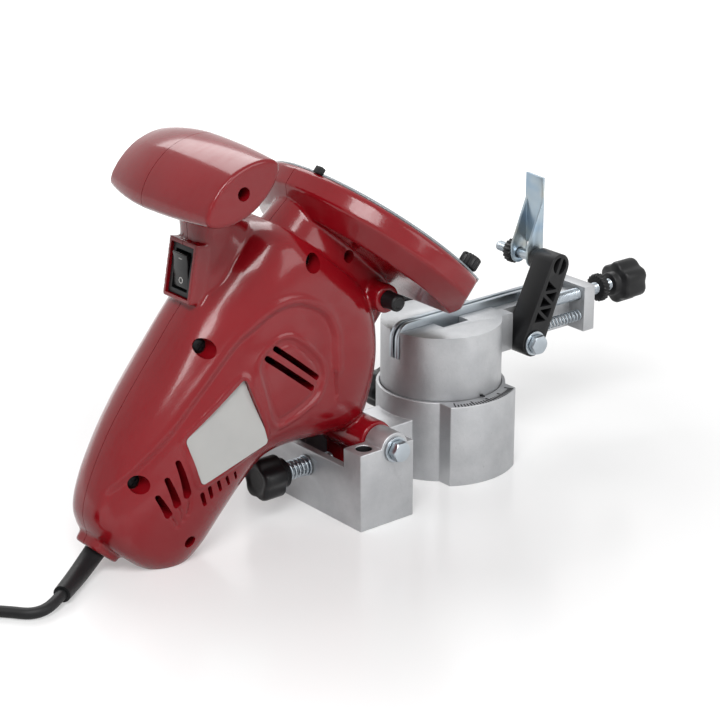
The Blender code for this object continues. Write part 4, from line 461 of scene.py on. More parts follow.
def oval(centre, half_width, half_height, exponent, count=96, low_exponent=None):
    """Superellipse outline; its lower half may have an exponent of its own."""
    outline = []
    for i in range(count):
        angle = 2 * math.pi * (i + 0.5) / count
        c, s = math.cos(angle), math.sin(angle)
        power = 2 / (low_exponent if low_exponent and s < 0 else exponent)
        x = math.copysign(abs(c) ** power, c)
        y = math.copysign(abs(s) ** power, s)
        outline.append((centre[0] + half_width * x, centre[1] + half_height * y))
    return outline


def hull(lower, lower_radius, upper, upper_radius, steps):
    """Two round ends joined by their outer tangents."""
    run = math.hypot(upper[0] - lower[0], upper[1] - lower[1])
    heading = math.degrees(math.atan2(upper[1] - lower[1], upper[0] - lower[0]))
    spread = math.degrees(math.acos((lower_radius - upper_radius) / run))
    low_end = arc(lower, lower_radius, heading + spread, heading + 360 - spread, steps)
    return low_end + arc(upper, upper_radius, heading - spread, heading + spread, steps)


def box(low, high):
    """Box between two corners."""
    (x0, y0, z0), (x1, y1, z1) = low, high
    return prism([(x0, y0), (x1, y0), (x1, y1), (x0, y1)], z0, z1)


def centred_box(half_x, half_y, low, high):
    """Box with its middle on local Z."""
    return box((-half_x, -half_y, low), (half_x, half_y, high))


def smooth_rows(rows, steps):
    """Rows of a table with smooth rows between them."""
    result = []
    for i in range(len(rows) - 1):
        before, after = rows[max(i - 1, 0)], rows[min(i + 2, len(rows) - 1)]
        for step in range(steps):
            t = step / steps
            row = []
            for a, b, c, d in zip(before, rows[i], rows[i + 1], after):
                pull = 3 * t * t - 2 * t * t * t
                slope = (t * (1 - t) ** 2 * (c - a) - t * t * (1 - t) * (d - b)) / 2
                row.append(b + (c - b) * pull + slope)
            result.append(tuple(row))
    result.append(tuple(rows[-1]))
    return result


def along_x(y=0.0, z=0.0):
    """Local X, Y, Z become Y, Z, X, at the given place."""
    return Matrix(((0, 0, 1, 0), (1, 0, 0, y), (0, 1, 0, z), (0, 0, 0, 1)))


def along_y(x=0.0, z=0.0):
    """Local X, Y, Z become Z, X, Y, at the given place."""
    return Matrix(((0, 1, 0, x), (0, 0, 1, 0), (1, 0, 0, z), (0, 0, 0, 1)))


MIRRORED = Matrix.Scale(-1, 4, (0, 0, 1))
SPINDLE_LINE = along_y(0, SPINDLE_Z)
MOTOR_LINE = along_y(0, MOTOR_Z)
LOCK_LINE = along_x(LOCK_BOSS_Y, SPINDLE_Z)
GRIP_LINE = along_x(GRIP_PLACE[1], GRIP_PLACE[2])
# Plane of the label, turned and leaned with the near side: local Z points out of it
LABEL = placed((-0.0382, 0, 0), -0.6, "Z") @ placed((0, 0, 0), 8.3, "Y") @ along_x() @ MIRRORED


def moved(mesh, place):
    """The mesh, placed; a mirrored one is turned right side out again."""
    mesh.transform(place)
    if place.determinant() < 0:
        mesh.flip_normals()
    return mesh


def gathered(*meshes):
    """Several meshes as one, uncut."""
    shape = bmesh.new()
    for mesh in meshes:
        shape.from_mesh(mesh)
    return baked(shape)


def settled(made):
    """The object's mesh with its modifiers worked in; the object goes."""
    bpy.context.view_layer.update()
    graph = bpy.context.evaluated_depsgraph_get()
    mesh = bpy.data.meshes.new_from_object(made.evaluated_get(graph))
    bpy.data.objects.remove(made)
    return mesh


def carved(mesh, tools, operation="DIFFERENCE", solver="MANIFOLD"):
    """The mesh with tools cut out of it or united with it."""
    work = added("work", mesh)
    helpers = []
    for tool in tools:
        helper = added("work", tool)
        modifier = work.modifiers.new("cut", "BOOLEAN")
        modifier.operation, modifier.object, modifier.solver = operation, helper, solver
        helpers.append(helper)
    result = settled(work)
    for helper in helpers:
        bpy.data.objects.remove(helper)
    return result


def remeshed(mesh, voxel, rounds):
    """The union of all that the mesh holds, with its corners melted together."""
    work = added("work", mesh)
    skin = work.modifiers.new("skin", "REMESH")
    skin.mode, skin.voxel_size = "VOXEL", voxel
    melt = work.modifiers.new("melt", "SMOOTH")
    melt.factor, melt.iterations = 0.5, rounds
    return settled(work)


def rounded(mesh, width, segments=2):
    """The mesh with its sharp edges eased."""
    work = added("work", mesh)
    bevel = work.modifiers.new("ease", "BEVEL")
    bevel.width, bevel.segments, bevel.limit_method = width, segments, "ANGLE"
    bevel.angle_limit = math.radians(30)
    return settled(work)


def piece(name, mesh, look, body, *nodes, sharp=40):
    """A finished piece that rides on a body and stands for its nodes."""
    mesh.materials.clear()
    mesh.materials.append(look)
    mesh.shade_smooth()
    mesh.set_sharp_from_angle(angle=math.radians(sharp))
    made = added(name, mesh)
    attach(made, body)
    if nodes:
        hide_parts(*nodes)
    return made


def merged_copy(node):
    """A CAD node's mesh, merged and with its flat faces whole."""
    shape = bmesh.new()
    shape.from_mesh(NODES[node].data)
    bmesh.ops.remove_doubles(shape, verts=shape.verts, dist=0.000002)
    bmesh.ops.dissolve_limit(shape, angle_limit=math.radians(0.5), verts=shape.verts, edges=shape.edges)
    return baked(shape)


def body_holding(node):
    """Name of the body that a CAD node rides on."""
    for body, names in frame["record"]["behaviour"]["bodies"].items():
        if node in names:
            return body
    return None


def eased_solid(node, look, width, segments=2):
    """A solid whose shape is right, with its edges eased."""
    mesh = rounded(merged_copy(node), width, segments)
    return piece(node + "_eased", mesh, look, body_holding(node), node, sharp=35)


def painted(look, *names):
    """Solids that are right as they are: hidden inside, or plain."""
    for name in names:
        for place in NODES[name].material_slots:
            place.material = look


def in_head(mesh, place=None):
    """The mesh, moved from the head's frame to the bench's."""
    return moved(mesh, HEAD @ place if place else HEAD)


# Screws, nuts and knobs

BOLT_RADIUS = 0.0030
PIN_RADIUS = 0.0025
HEXAGON_RADIUS = 0.0050
WASHER_THICKNESS = 0.0010
HALF_TURN = Matrix.Rotation(math.pi, 4, "X")


def thread(start, end, radius, pitch=0.0010, depth=0.00040):
    """Threaded bar about local Z: a ridge that winds along it, with eased ends."""
    around, per_pitch, tip = 24, 8, 0.0005
    steps = int((end - start) / pitch * per_pitch)
    rings = [[(0, 0, start)]]
    for i in range(steps + 1):
        along = start + (end - start) * i / steps
        ease = max(0.0, 1 - min(along - start, end - along) / tip)
        ridges = [abs(2 * ((along / pitch - j / around) % 1.0) - 1) for j in range(around)]
        rings.append(ring(along, [radius - depth * (1 - min(1.0, 1.5 * ridge)) - ease * depth for ridge in ridges]))
    rings.append([(0, 0, end)])
    return mesh_of(rings)


def waves(count, points):
    """Depths from 0 to 1 of so many even waves round a circle, each with so many points."""
    return [0.5 - 0.5 * math.cos(2 * math.pi * i / points) for i in range(count * points)]


def star_knob(name, place, near, length, radius, lobes, body, node, hollow=0.16, collar=0.70):
    """Star knob: short round collar, and a lobed grip with a dished face; local Z runs out from near."""
    # Share of the knob's length, reach as a share of its radius, and how far the ring follows the lobes
    stations = (
        (0.00, 0.0, 0.0), (0.00, collar - 0.05, 0.0), (0.03, collar, 0.0), (0.17, collar, 0.0),
        (0.20, collar + 0.06, 0.2), (0.22, 0.86, 0.8), (0.25, 0.95, 1.0), (0.31, 1.0, 1.0), (0.86, 1.0, 1.0),
        (0.93, 0.975, 1.0), (0.98, 0.91, 1.0), (1.00, 0.82, 0.8), (0.99, 0.66, 0.4), (0.955, 0.56, 0.0),
        (0.940, 0.42, 0.0), (0.940, 0.0, 0.0),
    )
    dips = [hollow * dip ** 1.3 for dip in waves(lobes, 16)]
    rings = []
    for along, reach, follow in stations:
        ends = dips if reach else dips[:1]
        rings.append(ring(near + along * length, [radius * reach * (1 - follow * dip) for dip in ends]))
    piece(name, moved(mesh_of(rings), place), BLACK, body, node, sharp=50)


def hexagon_head(start, end, radius):
    """Hexagon head about local Z, chamfered on its outer face at start."""
    solid = prism(arc((0, 0), radius, 0, 300, steps=5), start, end)
    over, chamfered, narrow, wide = 0.0002, start + (end - start) * 0.22, radius * 0.84, radius * 1.02
    dome = turned([(start - over, 0), (start - over, narrow), (chamfered, wide), (end + over, wide),
                   (end + over, 0)], 48)
    return rounded(carved(solid, [dome], "INTERSECT", "EXACT"), width=0.00015)


def fluted(start, end, radius, flutes, depth):
    """Knurled nut about local Z: rounded flutes round its edge."""
    stations = ((start, 0.0010), (start + 0.0003, 0.0003), (start + 0.0008, 0.0),
                (end - 0.0008, 0.0), (end - 0.0003, 0.0003), (end, 0.0010))
    return mesh_of([ring(along, [radius - inset - depth * wave for wave in waves(flutes, 6)])
                    for along, inset in stations])


def tube(points, radii, sides, upright=(0, 0, 1)):
    """Round tube along points that never run upright, with closed ends."""
    rings = []
    for i, (here, radius) in enumerate(zip(points, radii)):
        ahead = (points[min(i + 1, len(points) - 1)] - points[max(i - 1, 0)]).normalized()
        across = ahead.cross(Vector(upright)).normalized()
        up = across.cross(ahead)
        rings.append([here + c * across + s * up for c, s, _ in ring(0, [radius] * sides)])
    return mesh_of(rings)


def spring(start, end, radius, curls, wire):
    """Compression spring about local Z with its last curls laid flat."""
    per_curl, flat_curls, flat_slope = 28, 0.75, 0.25
    flat = flat_curls / curls
    low = flat * flat_slope
    points = []
    for i in range(curls * per_curl + 1):
        turn = i / per_curl
        share = turn / curls
        if share < flat:
            rise = share * flat_slope
        elif share > 1 - flat:
            rise = 1 - (1 - share) * flat_slope
        else:
            rise = low + (share - flat) / (1 - 2 * flat) * (1 - 2 * low)
        angle = 2 * math.pi * turn
        points.append(Vector((radius * math.cos(angle), radius * math.sin(angle),
                              start + wire + (end - start - 2 * wire) * rise)))
    return tube(points, [wire] * len(points), sides=8)


def span(node):
    """Where a solid that lies along Y starts and ends."""
    low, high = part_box(node)
    return low.y, high.y


def bolt_washer(name, place, start, outer, inner, body, node):
    """Washer with eased edges, from start along its bolt."""
    end = start + WASHER_THICKNESS
    profile = eased([(start, inner), (start, outer), (end, outer), (end, inner)], 0.00025, steps=3, loop=True)
    piece(name, moved(turned(profile, 48, closed=True), place), ZINC, body, node)


def make_stop():
    """Feed screw, its nut and knob, the arm's bolt and pin, the pawl, and the return spring."""
    feed, behind_arm = along_y(-0.0130, 0.0700), along_y(-0.0150, 0.0596)
    arm_bolt, arm_pin = along_x(-0.0400, 0.0555), along_x(-0.0560, 0.0908)
    start, end = span("feed_screw")
    shoulder = end - 0.0025
    tip = [(shoulder - 0.0008, 0), (shoulder - 0.0008, 0.0026), (shoulder, 0.0026), (end, 0.0010), (end, 0)]
    screw = gathered(thread(start, shoulder - 0.0005, BOLT_RADIUS), turned(eased(tip, 0.0003), 32))
    piece("feed_screw_thread", moved(screw, feed), ZINC, "feed_screw_body", "feed_screw")
    nut = fluted(-0.0940, -0.0900, radius=0.0070, flutes=22, depth=0.0006)
    piece("feed_lock_nut_knurl", moved(nut, feed), BLACK, "feed_lock_nut_body", "feed_lock_nut")
    star_knob("feed_star", feed @ HALF_TURN, near=0.0990, length=0.0180, radius=0.0106, lobes=6,
              body="feed_knob_body", node="feed_knob", hollow=0.13, collar=0.55)
    wire = spring(*span("stop_return_spring"), radius=0.0024, curls=12, wire=0.0004)
    piece("return_spring_wire", moved(wire, behind_arm), ZINC, "vise", "stop_return_spring")
    head = -0.0236
    bolt = gathered(hexagon_head(head - 0.0032, head, HEXAGON_RADIUS),
                    rod(head - 0.0004, -0.0039, PIN_RADIUS, edge=0.0002))
    piece("arm_bolt_head", moved(bolt, arm_bolt), ZINC, "vise", "stop_arm_bolt")
    bolt_washer("arm_washer_ring", arm_bolt, -0.0233, 0.0060, 0.0028, "vise", "stop_arm_washer")
    pin = gathered(rod(-0.0172, 0.0120, PIN_RADIUS, edge=0.0002),
                   thread(0.0116, 0.0210, PIN_RADIUS, pitch=0.0008, depth=0.0003))
    piece("pawl_pin_thread", moved(pin, arm_pin), ZINC, "stop_arm_body", "stop_pin")
    nut = fluted(0.0078, 0.0128, radius=0.0060, flutes=18, depth=0.0006)
    piece("pawl_nut_knurl", moved(nut, arm_pin), BLACK, "pawl_nut_body", "pawl_nut")
    eased_solid("stop_pawl", PAWL, 0.00022)
    eased_solid("stop_arm", BLACK, 0.00035)


def make_vise_screws():
    """Clamp screw and swivel lock screw with their knobs."""
    for name, tip, near, length, radius in (("clamp", 0.0033, 0.0320, 0.0120, 0.0090),
                                            ("swivel_lock", 0.0103, 0.0360, 0.0140, 0.0100)):
        low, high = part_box(name + "_screw")
        place = along_x((low.y + high.y) / 2, (low.z + high.z) / 2)
        screw = thread(tip, near + length * 0.5, BOLT_RADIUS)
        piece(name + "_thread", moved(screw, place), ZINC, name, name + "_screw")
        star_knob(name + "_star", place, near, length, radius, lobes=6, body=name, node=name + "_knob")


def make_hinge_and_depth():
    """Pivot bolt with its washers and nut, and the depth screw with spring and knob."""
    pivot, depth = along_x(PIVOT[1], PIVOT[2]), along_y(-0.0040, 0.0200)
    head = -0.0450
    bolt = gathered(hexagon_head(head - 0.0040, head, HEXAGON_RADIUS),
                    rod(head - 0.0004, 0.0460, BOLT_RADIUS, edge=0.0002), thread(0.0440, 0.0510, BOLT_RADIUS))
    piece("pivot_bolt_head", moved(bolt, pivot), ZINC, "base", "pivot_bolt")
    for side, start in (("near", -0.0447), ("far", 0.0437)):
        bolt_washer("pivot_ring_" + side, pivot, start, 0.0060, 0.0033, "base", "pivot_washer_" + side)
    nut = moved(hexagon_head(-0.0490, -0.0450, HEXAGON_RADIUS), HALF_TURN)
    piece("pivot_nut_hexagon", moved(nut, pivot), ZINC, "base", "pivot_nut")
    piece("depth_thread", moved(thread(*span("depth_screw"), BOLT_RADIUS), depth), ZINC, "depth", "depth_screw")
    bolt_washer("depth_ring", depth, 0.0852, 0.0050, 0.0033, "base", "depth_washer")
    wire = spring(*span("depth_spring"), radius=0.0041, curls=6, wire=0.00055)
    piece("depth_spring_wire", moved(wire, depth), ZINC, "base", "depth_spring")
    start, end = span("depth_knob")
    star_knob("depth_star", depth, start, end - start, radius=0.0100, lobes=5, body="depth", node="depth_knob")


# Base, turret and rails

CUP_TOP = 0.0400


def repeated(name, mesh, count, step, place, look):
    """Copies of a mesh round local Z, a step apart, as one plain mesh; the tree has inputs for all of it."""
    source = added("work", mesh)
    tree = bpy.data.node_groups.new(name, "GeometryNodeTree")
    tree.interface.new_socket("Geometry", in_out="OUTPUT", socket_type="NodeSocketGeometry")
    carrier = added("work", bpy.data.meshes.new("carrier"))
    modifier = carrier.modifiers.new(name, "NODES")
    inputs = (("Piece", "Object", source), ("Count", "Int", count), ("Step", "Float", step),
              ("Look", "Material", look))
    sockets = [tree.interface.new_socket(label, in_out="INPUT", socket_type="NodeSocket" + kind)
               for label, kind, _ in inputs]
    given = tree.nodes.new("NodeGroupInput")
    points = tree.nodes.new("GeometryNodePoints")
    shape = tree.nodes.new("GeometryNodeObjectInfo")
    number = tree.nodes.new("GeometryNodeInputIndex")
    turn = tree.nodes.new("ShaderNodeMath")
    turn.operation = "MULTIPLY"
    about = tree.nodes.new("ShaderNodeCombineXYZ")
    set_out = tree.nodes.new("GeometryNodeInstanceOnPoints")
    real = tree.nodes.new("GeometryNodeRealizeInstances")
    paint = tree.nodes.new("GeometryNodeSetMaterial")
    result = tree.nodes.new("NodeGroupOutput")
    linked(
        tree, (given.outputs["Piece"], shape.inputs["Object"]), (given.outputs["Count"], points.inputs["Count"]),
        (number.outputs["Index"], turn.inputs[0]), (given.outputs["Step"], turn.inputs[1]),
        (turn.outputs[0], about.inputs["Z"]), (points.outputs[0], set_out.inputs["Points"]),
        (shape.outputs["Geometry"], set_out.inputs["Instance"]), (about.outputs[0], set_out.inputs["Rotation"]),
        (set_out.outputs[0], real.inputs[0]), (real.outputs[0], paint.inputs["Geometry"]),
        (given.outputs["Look"], paint.inputs["Material"]), (paint.outputs[0], result.inputs[0]),
    )
    modifier.node_group = tree
    for socket, (_, _, value) in zip(sockets, inputs):
        modifier[socket.identifier] = value
    made = settled(carrier)
    bpy.data.objects.remove(source)
    return moved(made, place)


def make_base():
    """Cast base with its swivel scale, machined faces and rounded cup lip."""
    base = eased_solid("base_casting", CAST, 0.0006, 3)
    # Painted shade: the faces inside the two bolt holes get the dark steel, so the deep bores look dark
    base.data.materials.append(DARK_STEEL_AND_BORE_SHADE)
    hole_x, hole_y, hole_reach = 0.0370, 0.0780, 0.00372
    for face in base.data.polygons:
        in_shaded_hole = math.hypot(abs(face.center.x) - hole_x, face.center.y - hole_y) < hole_reach
        if in_shaded_hole and 0.0005 < face.center.z < 0.0360:
            face.material_index = 1
    scale_edge, half_width = -0.0364, 0.00026
    scale_start = placed((0, 0, CUP_TOP), -120, "Z")
    for name, count, step, long in (("scale_ticks_fine", 25, 2.5, 0.0026), ("scale_ticks_long", 5, 15.0, 0.0044)):
        mark = box((-half_width, scale_edge, -0.0001), (half_width, scale_edge + long, 0.0002))
        marks = repeated(name, mark, count, math.radians(step), scale_start, SCALE_PAINT)
        piece(name, marks, SCALE_PAINT, "base")


def make_vise():
    """Turret with its beam and windows, and the two rails."""
    eased_solid("vise_turret", CAST, 0.0007, 3)
    pointer = prism([(-0.0285, 0.0010), (-0.0316, 0), (-0.0285, -0.0010)], CUP_TOP + 0.0004, CUP_TOP + 0.0012)
    piece("scale_pointer", rounded(pointer, width=0.0001), DARK_STEEL_AND_BORE_SHADE, "vise")
    for rail in ("rail_fixed", "rail_jaw"):
        eased_solid(rail, ZINC, 0.0004, 3)


# Grinding head housing

# Share of the body's length, bottom and top as shares of its height, width, and the section's upper and lower power
BODY_SHARES = (
    (0.000, 0.330, 0.930, 0.78, 3.2, 3.2),
    (0.045, 0.255, 0.985, 0.92, 3.0, 3.8),
    (0.130, 0.160, 1.015, 0.98, 2.8, 4.6),
    (0.220, 0.070, 1.020, 1.00, 2.6, 3.8),
    (0.308, 0.000, 1.020, 1.00, 2.5, 2.8),
    (0.385, 0.080, 1.020, 1.00, 2.4, 2.4),
    (0.460, 0.220, 1.015, 0.99, 2.3, 2.3),
    (0.545, 0.335, 1.010, 0.97, 2.2, 2.3),
    (0.640, 0.365, 1.003, 0.93, 2.2, 2.4),
    (0.750, 0.370, 0.985, 0.87, 2.2, 2.5),
    (0.865, 0.375, 0.945, 0.79, 2.3, 2.7),
    (0.945, 0.405, 0.895, 0.68, 2.4, 2.8),
    (0.985, 0.470, 0.835, 0.54, 2.4, 2.6),
    (1.000, 0.560, 0.780, 0.40, 2.4, 2.4),
)
# Height above the body, and the section's middle, length and width, each as a share
STEM_SHARES = (
    (-0.30, 0.95, 0.95, 1.05),
    (0.02, 1.07, 0.75, 0.84),
    (0.20, 1.30, 0.55, 0.70),
    (0.42, 1.62, 0.37, 0.66),
    (0.62, 1.90, 0.36, 0.68),
    (0.80, 2.00, 0.42, 0.78),
)
# Y, bottom, top and half width
NECK_SECTIONS = (
    (-0.0650, 0.0225, 0.0940, 0.0205),
    (-0.0520, 0.0170, 0.0960, 0.0225),
    (-0.0380, 0.0165, 0.0960, 0.0225),
)
# Y and half width of the collar that holds the strain relief
COLLAR_SECTIONS = ((0.0880, 0.0094), (0.1000, 0.0090), (0.1070, 0.0086), (0.1078, 0.0080))
# Screw wells of the near side: Y, Z, the floor's X, radius
WELLS = (
    (0.0109, 0.1050, -0.0150, 0.0041),
    (-0.0457, 0.0850, -0.0200, 0.0041),
    (-0.0594, 0.0639, -0.0160, 0.0028),
    (0.0743, 0.0960, -0.0140, 0.0040),
    (0.0833, 0.0578, -0.0120, 0.0026),
)
# Slots: centre (Y, Z) and radius of the upper end, then of the lower end
SLOTS = (
    ((-0.0059, 0.0786), 0.0013, (-0.0068, 0.0500), 0.0013),
    ((-0.0003, 0.0795), 0.0014, (-0.0016, 0.0498), 0.0014),
    ((0.0578, 0.0889), 0.0012, (0.0669, 0.0764), 0.0020),
    ((0.0664, 0.0884), 0.0012, (0.0728, 0.0778), 0.0019),
    ((0.0748, 0.0872), 0.0012, (0.0785, 0.0782), 0.0018),
    ((0.0478, 0.0602), 0.0007, (0.0494, 0.0566), 0.0006),
    ((0.0515, 0.0630), 0.0008, (0.0533, 0.0590), 0.0007),
    ((0.0552, 0.0658), 0.0009, (0.0574, 0.0616), 0.0008),
    ((0.0594, 0.0682), 0.0010, (0.0621, 0.0638), 0.0009),
    ((0.0635, 0.0696), 0.0011, (0.0663, 0.0647), 0.0010),
)
# Lines that run on from the fan slots, as (Y, Z)
GROOVES = (
    ((0.0660, 0.0755), (0.0698, 0.0721), (0.0736, 0.0698)),
    ((0.0731, 0.0776), (0.0743, 0.0736), (0.0771, 0.0699)),
    ((0.0786, 0.0771), (0.0794, 0.0731), (0.0807, 0.0703)),
)
# Corners of the label in its plane, as (Y, Z)
LABEL_CORNERS = ((0.0125, 0.0848), (0.0190, 0.0735), (0.0250, 0.0620), (0.0293, 0.0563), (0.0604, 0.0733),
                 (0.0484, 0.0926))
# The raised line over the near side from the tail round the vent, as (Y, Z)
SWOOSH = (
    (0.0900, 0.1045), (0.0817, 0.1030), (0.0746, 0.1020), (0.0659, 0.1012), (0.0516, 0.0997), (0.0377, 0.0992),
    (0.0253, 0.0985), (0.0031, 0.0964), (-0.0070, 0.0936), (-0.0171, 0.0905), (-0.0249, 0.0855),
    (-0.0297, 0.0777), (-0.0315, 0.0661), (-0.0276, 0.0560), (-0.0214, 0.0500), (-0.0150, 0.0440),
)
# Outline of the sunk panel round the vent slots, as (Y, Z)
PANEL = (
    (0.0060, 0.0815), (-0.0006, 0.0826), (-0.0103, 0.0800), (-0.0146, 0.0750), (-0.0150, 0.0640),
    (-0.0135, 0.0520), (-0.0092, 0.0462), (-0.0010, 0.0437), (0.0114, 0.0482), (0.0215, 0.0540),
    (0.0205, 0.0604), (0.0132, 0.0715),
)


def body_form():
    """Motor body, from the neck's shoulder to the tail."""
    sections = []
    for station, bottom, top, width, upper, lower in smooth_rows(BODY_SHARES, 6):
        middle, half = (bottom + top) / 2 * BODY_HEIGHT, (top - bottom) / 2 * BODY_HEIGHT
        sections.append((BODY_FRONT + station * BODY_LENGTH,
                         oval((0, middle), width * BODY_HALF_WIDTH, half, upper, low_exponent=lower)))
    return lofted(sections, 1)


def stem_form():
    """Stem from the body's top into the middle of the grip."""
    rise, middle_y, half_length, half_width = 0.0500, -0.0240, 0.0270, 0.0160
    sections = []
    for height, middle, length, width in smooth_rows(STEM_SHARES, 5):
        outline = oval((0, middle * middle_y), width * half_width, length * half_length, exponent=2.6, count=72)
        sections.append((BODY_HEIGHT + height * rise, outline))
    return lofted(sections, 2)


def neck_form():
    """Neck between the body and the wheel guard."""
    return lofted([(y, oval((0, (low + high) / 2), half_width, (high - low) / 2, exponent=2.3))
                   for y, low, high, half_width in NECK_SECTIONS], 1)


def collar_form():
    """Squarish collar at the tail, where the lead comes out."""
    return lofted([(y, oval((0, RELIEF_Z), half, half, exponent=4.0)) for y, half in COLLAR_SECTIONS], 1)


def grip_form():
    """Cross grip: a lens-shaped bar that swells towards its middle, flat at its ends."""
    steps, half_length, half_height, swelling, narrowing = 32, 0.0205, 0.0100, 0.0026, 0.0020
    sections = []
    for i in range(steps + 1):
        share = -1 + 2 * i / steps
        swell = swelling * (1 - share * share) - narrowing * max(share, 0) ** 2
        outline = oval((0, 0), half_length + swell, half_height + swell, exponent=1.75)
        sections.append((share * (GRIP_FAR if share > 0 else GRIP_NEAR), outline))
    return moved(lofted(sections, 0), placed(GRIP_PLACE, GRIP_PITCH))


def guard_trims():
    """What is cut off below the guard and its cover."""
    front, back = GUARD_FRONT - 0.010, 0.010
    wide = GUARD_RADIUS + 0.010
    low, high = GUARD_LOW - GAP, GUARD_LOW + 0.0115
    trims = [box((-wide, front, SPINDLE_Z - wide), (wide, back, GUARD_LOW))]
    for side in (-1, 1):
        corner = [(side * 0.0500, low), (side * 0.0615, high), (side * wide, high), (side * wide, low)]
        if side < 0:
            corner.reverse()
        trims.append(moved(prism([(z, x) for x, z in corner], front, back), along_y()))
    return trims


def guard_form():
    """Wheel guard: rim with a front bead, chamfered back, open front, cut off below."""
    loop = [(GUARD_FRONT, GUARD_RADIUS - 0.0030), (GUARD_FRONT, GUARD_RADIUS - 0.0014),
            (GUARD_FRONT + 0.0018, GUARD_RADIUS), (-0.0710, GUARD_RADIUS),
            (-0.0630, 0.0510), (-0.0630, 0.0030), (-0.0662, 0.0030), (-0.0662, 0.0496), (-0.0712, 0.0568)]
    guard = moved(turned(eased(loop, 0.0006, steps=2, loop=True), 160, closed=True), SPINDLE_LINE)
    return carved(guard, guard_trims(), solver="EXACT")


def hollows():
    """What the housing is hollowed for: bores for shafts, bearings, motor, fan and lead, belt and switch."""
    spindle_bores = ((GUARD_FRONT, -0.0308, 0.0052), (-0.0664, -0.0577, 0.0113), (-0.0406, -0.0329, 0.0113))
    motor_bores = ((-0.0486, 0.0060, 0.0042), (-0.0373, -0.0298, 0.0088), (-0.0252, -0.0096, 0.0227),
                   (-0.0108, 0.0503, 0.0238), (0.0497, 0.0667, 0.0201), (0.0655, 0.0733, 0.0088),
                   (0.0640, 0.0752, 0.0042))
    spaces = [moved(rod(*bore), place) for place, bores in ((SPINDLE_LINE, spindle_bores), (MOTOR_LINE, motor_bores))
              for bore in bores]
    belt_space = hull((SPINDLE_Z, 0), 0.0188, (MOTOR_Z, 0), 0.0098, steps=14)
    spaces.append(moved(prism(belt_space, -0.0486, -0.0394), along_y()))
    spaces.append(moved(rod(0.0930, 0.1150, 0.0053), along_y(0, RELIEF_Z)))
    spaces.append(moved(centred_box(0.0071, 0.0101, -0.0142, 0.010), SWITCH))
    spaces.append(moved(centred_box(0.0083, 0.0113, -0.0003, 0.010), SWITCH))
    return spaces


def grown(points, by):
    """Outline moved out from its middle."""
    middle = Vector((sum(p[0] for p in points) / len(points), sum(p[1] for p in points) / len(points)))
    outline = []
    for point in points:
        away = Vector(point) - middle
        outline.append(tuple(middle + away * (1 + by / away.length)))
    return outline


def corner_rounded(points, radius, steps=6):
    """Closed outline with round corners."""
    return eased([tuple(p) for p in points], radius, steps, loop=True)


def near_cuts():
    """Wells, slots, label seat and screw holes in the near side."""
    outside = -0.045
    cuts = []
    for y, z, floor, radius in WELLS:
        profile = [(outside, 0), (outside, radius + 0.0012), (floor, radius - 0.0002), (floor, 0)]
        cuts.append(moved(turned(profile, 40), along_x(y, z)))
    for upper, upper_radius, lower, lower_radius in SLOTS:
        outline = hull(upper, upper_radius, lower, lower_radius, steps=8)
        cuts.append(moved(prism(outline, outside, -0.0100), along_x()))
    seat = prism(corner_rounded(grown(LABEL_CORNERS, GAP), 0.0022), -0.012, 0)
    cuts.append(moved(seat, LABEL @ MIRRORED))
    cuts.append(moved(rod(-0.060, -0.0320, 0.0030), GRIP_LINE))
    bore = turned([(outside, 0), (outside, 0.0042), (-0.0241, 0.0042), (-0.0241, 0.0055), (-0.0122, 0.0055),
                   (-0.0122, 0.0042), (-0.0028, 0.0042), (-0.0028, 0)], 40)
    cuts.append(moved(bore, LOCK_LINE))
    return cuts


def far_of_line(points, line):
    """Distance of each (y, z) from a polyline, and which side it lies on."""
    best = np.full(len(points), np.inf)
    side = np.zeros(len(points))
    for a, b in zip(line, line[1:]):
        a, b = np.array(a), np.array(b)
        along = b - a
        share = np.clip(((points - a) @ along) / (along @ along), 0, 1)
        gap = points - (a + share[:, None] * along)
        reach = np.hypot(gap[:, 0], gap[:, 1])
        turn = along[0] * gap[:, 1] - along[1] * gap[:, 0]
        closer = reach < best
        best[closer] = reach[closer]
        side[closer] = np.sign(turn)[closer]
    return best, side


def inside_of(points, outline):
    """Distance from a closed outline, negative inside it."""
    reach, _ = far_of_line(points, [*outline, outline[0]])
    within = np.zeros(len(points), bool)
    for (y0, z0), (y1, z1) in zip(outline, [*outline[1:], outline[0]]):
        crosses = (z0 > points[:, 1]) != (z1 > points[:, 1])
        with np.errstate(divide="ignore", invalid="ignore"):
            at = (y1 - y0) * (points[:, 1] - z0) / (z1 - z0) + y0
        within ^= crosses & (points[:, 0] < at)
    return np.where(within, -reach, reach)


def soft_step(value, low, high):
    """0 below low, 1 above high, smooth between them."""
    t = np.clip((value - low) / (high - low), 0, 1)
    return t * t * (3 - 2 * t)


def bell(value, middle, width):
    """1 at the middle, falling off smoothly within about twice the width."""
    return np.exp(-((value - middle) / width) ** 2)


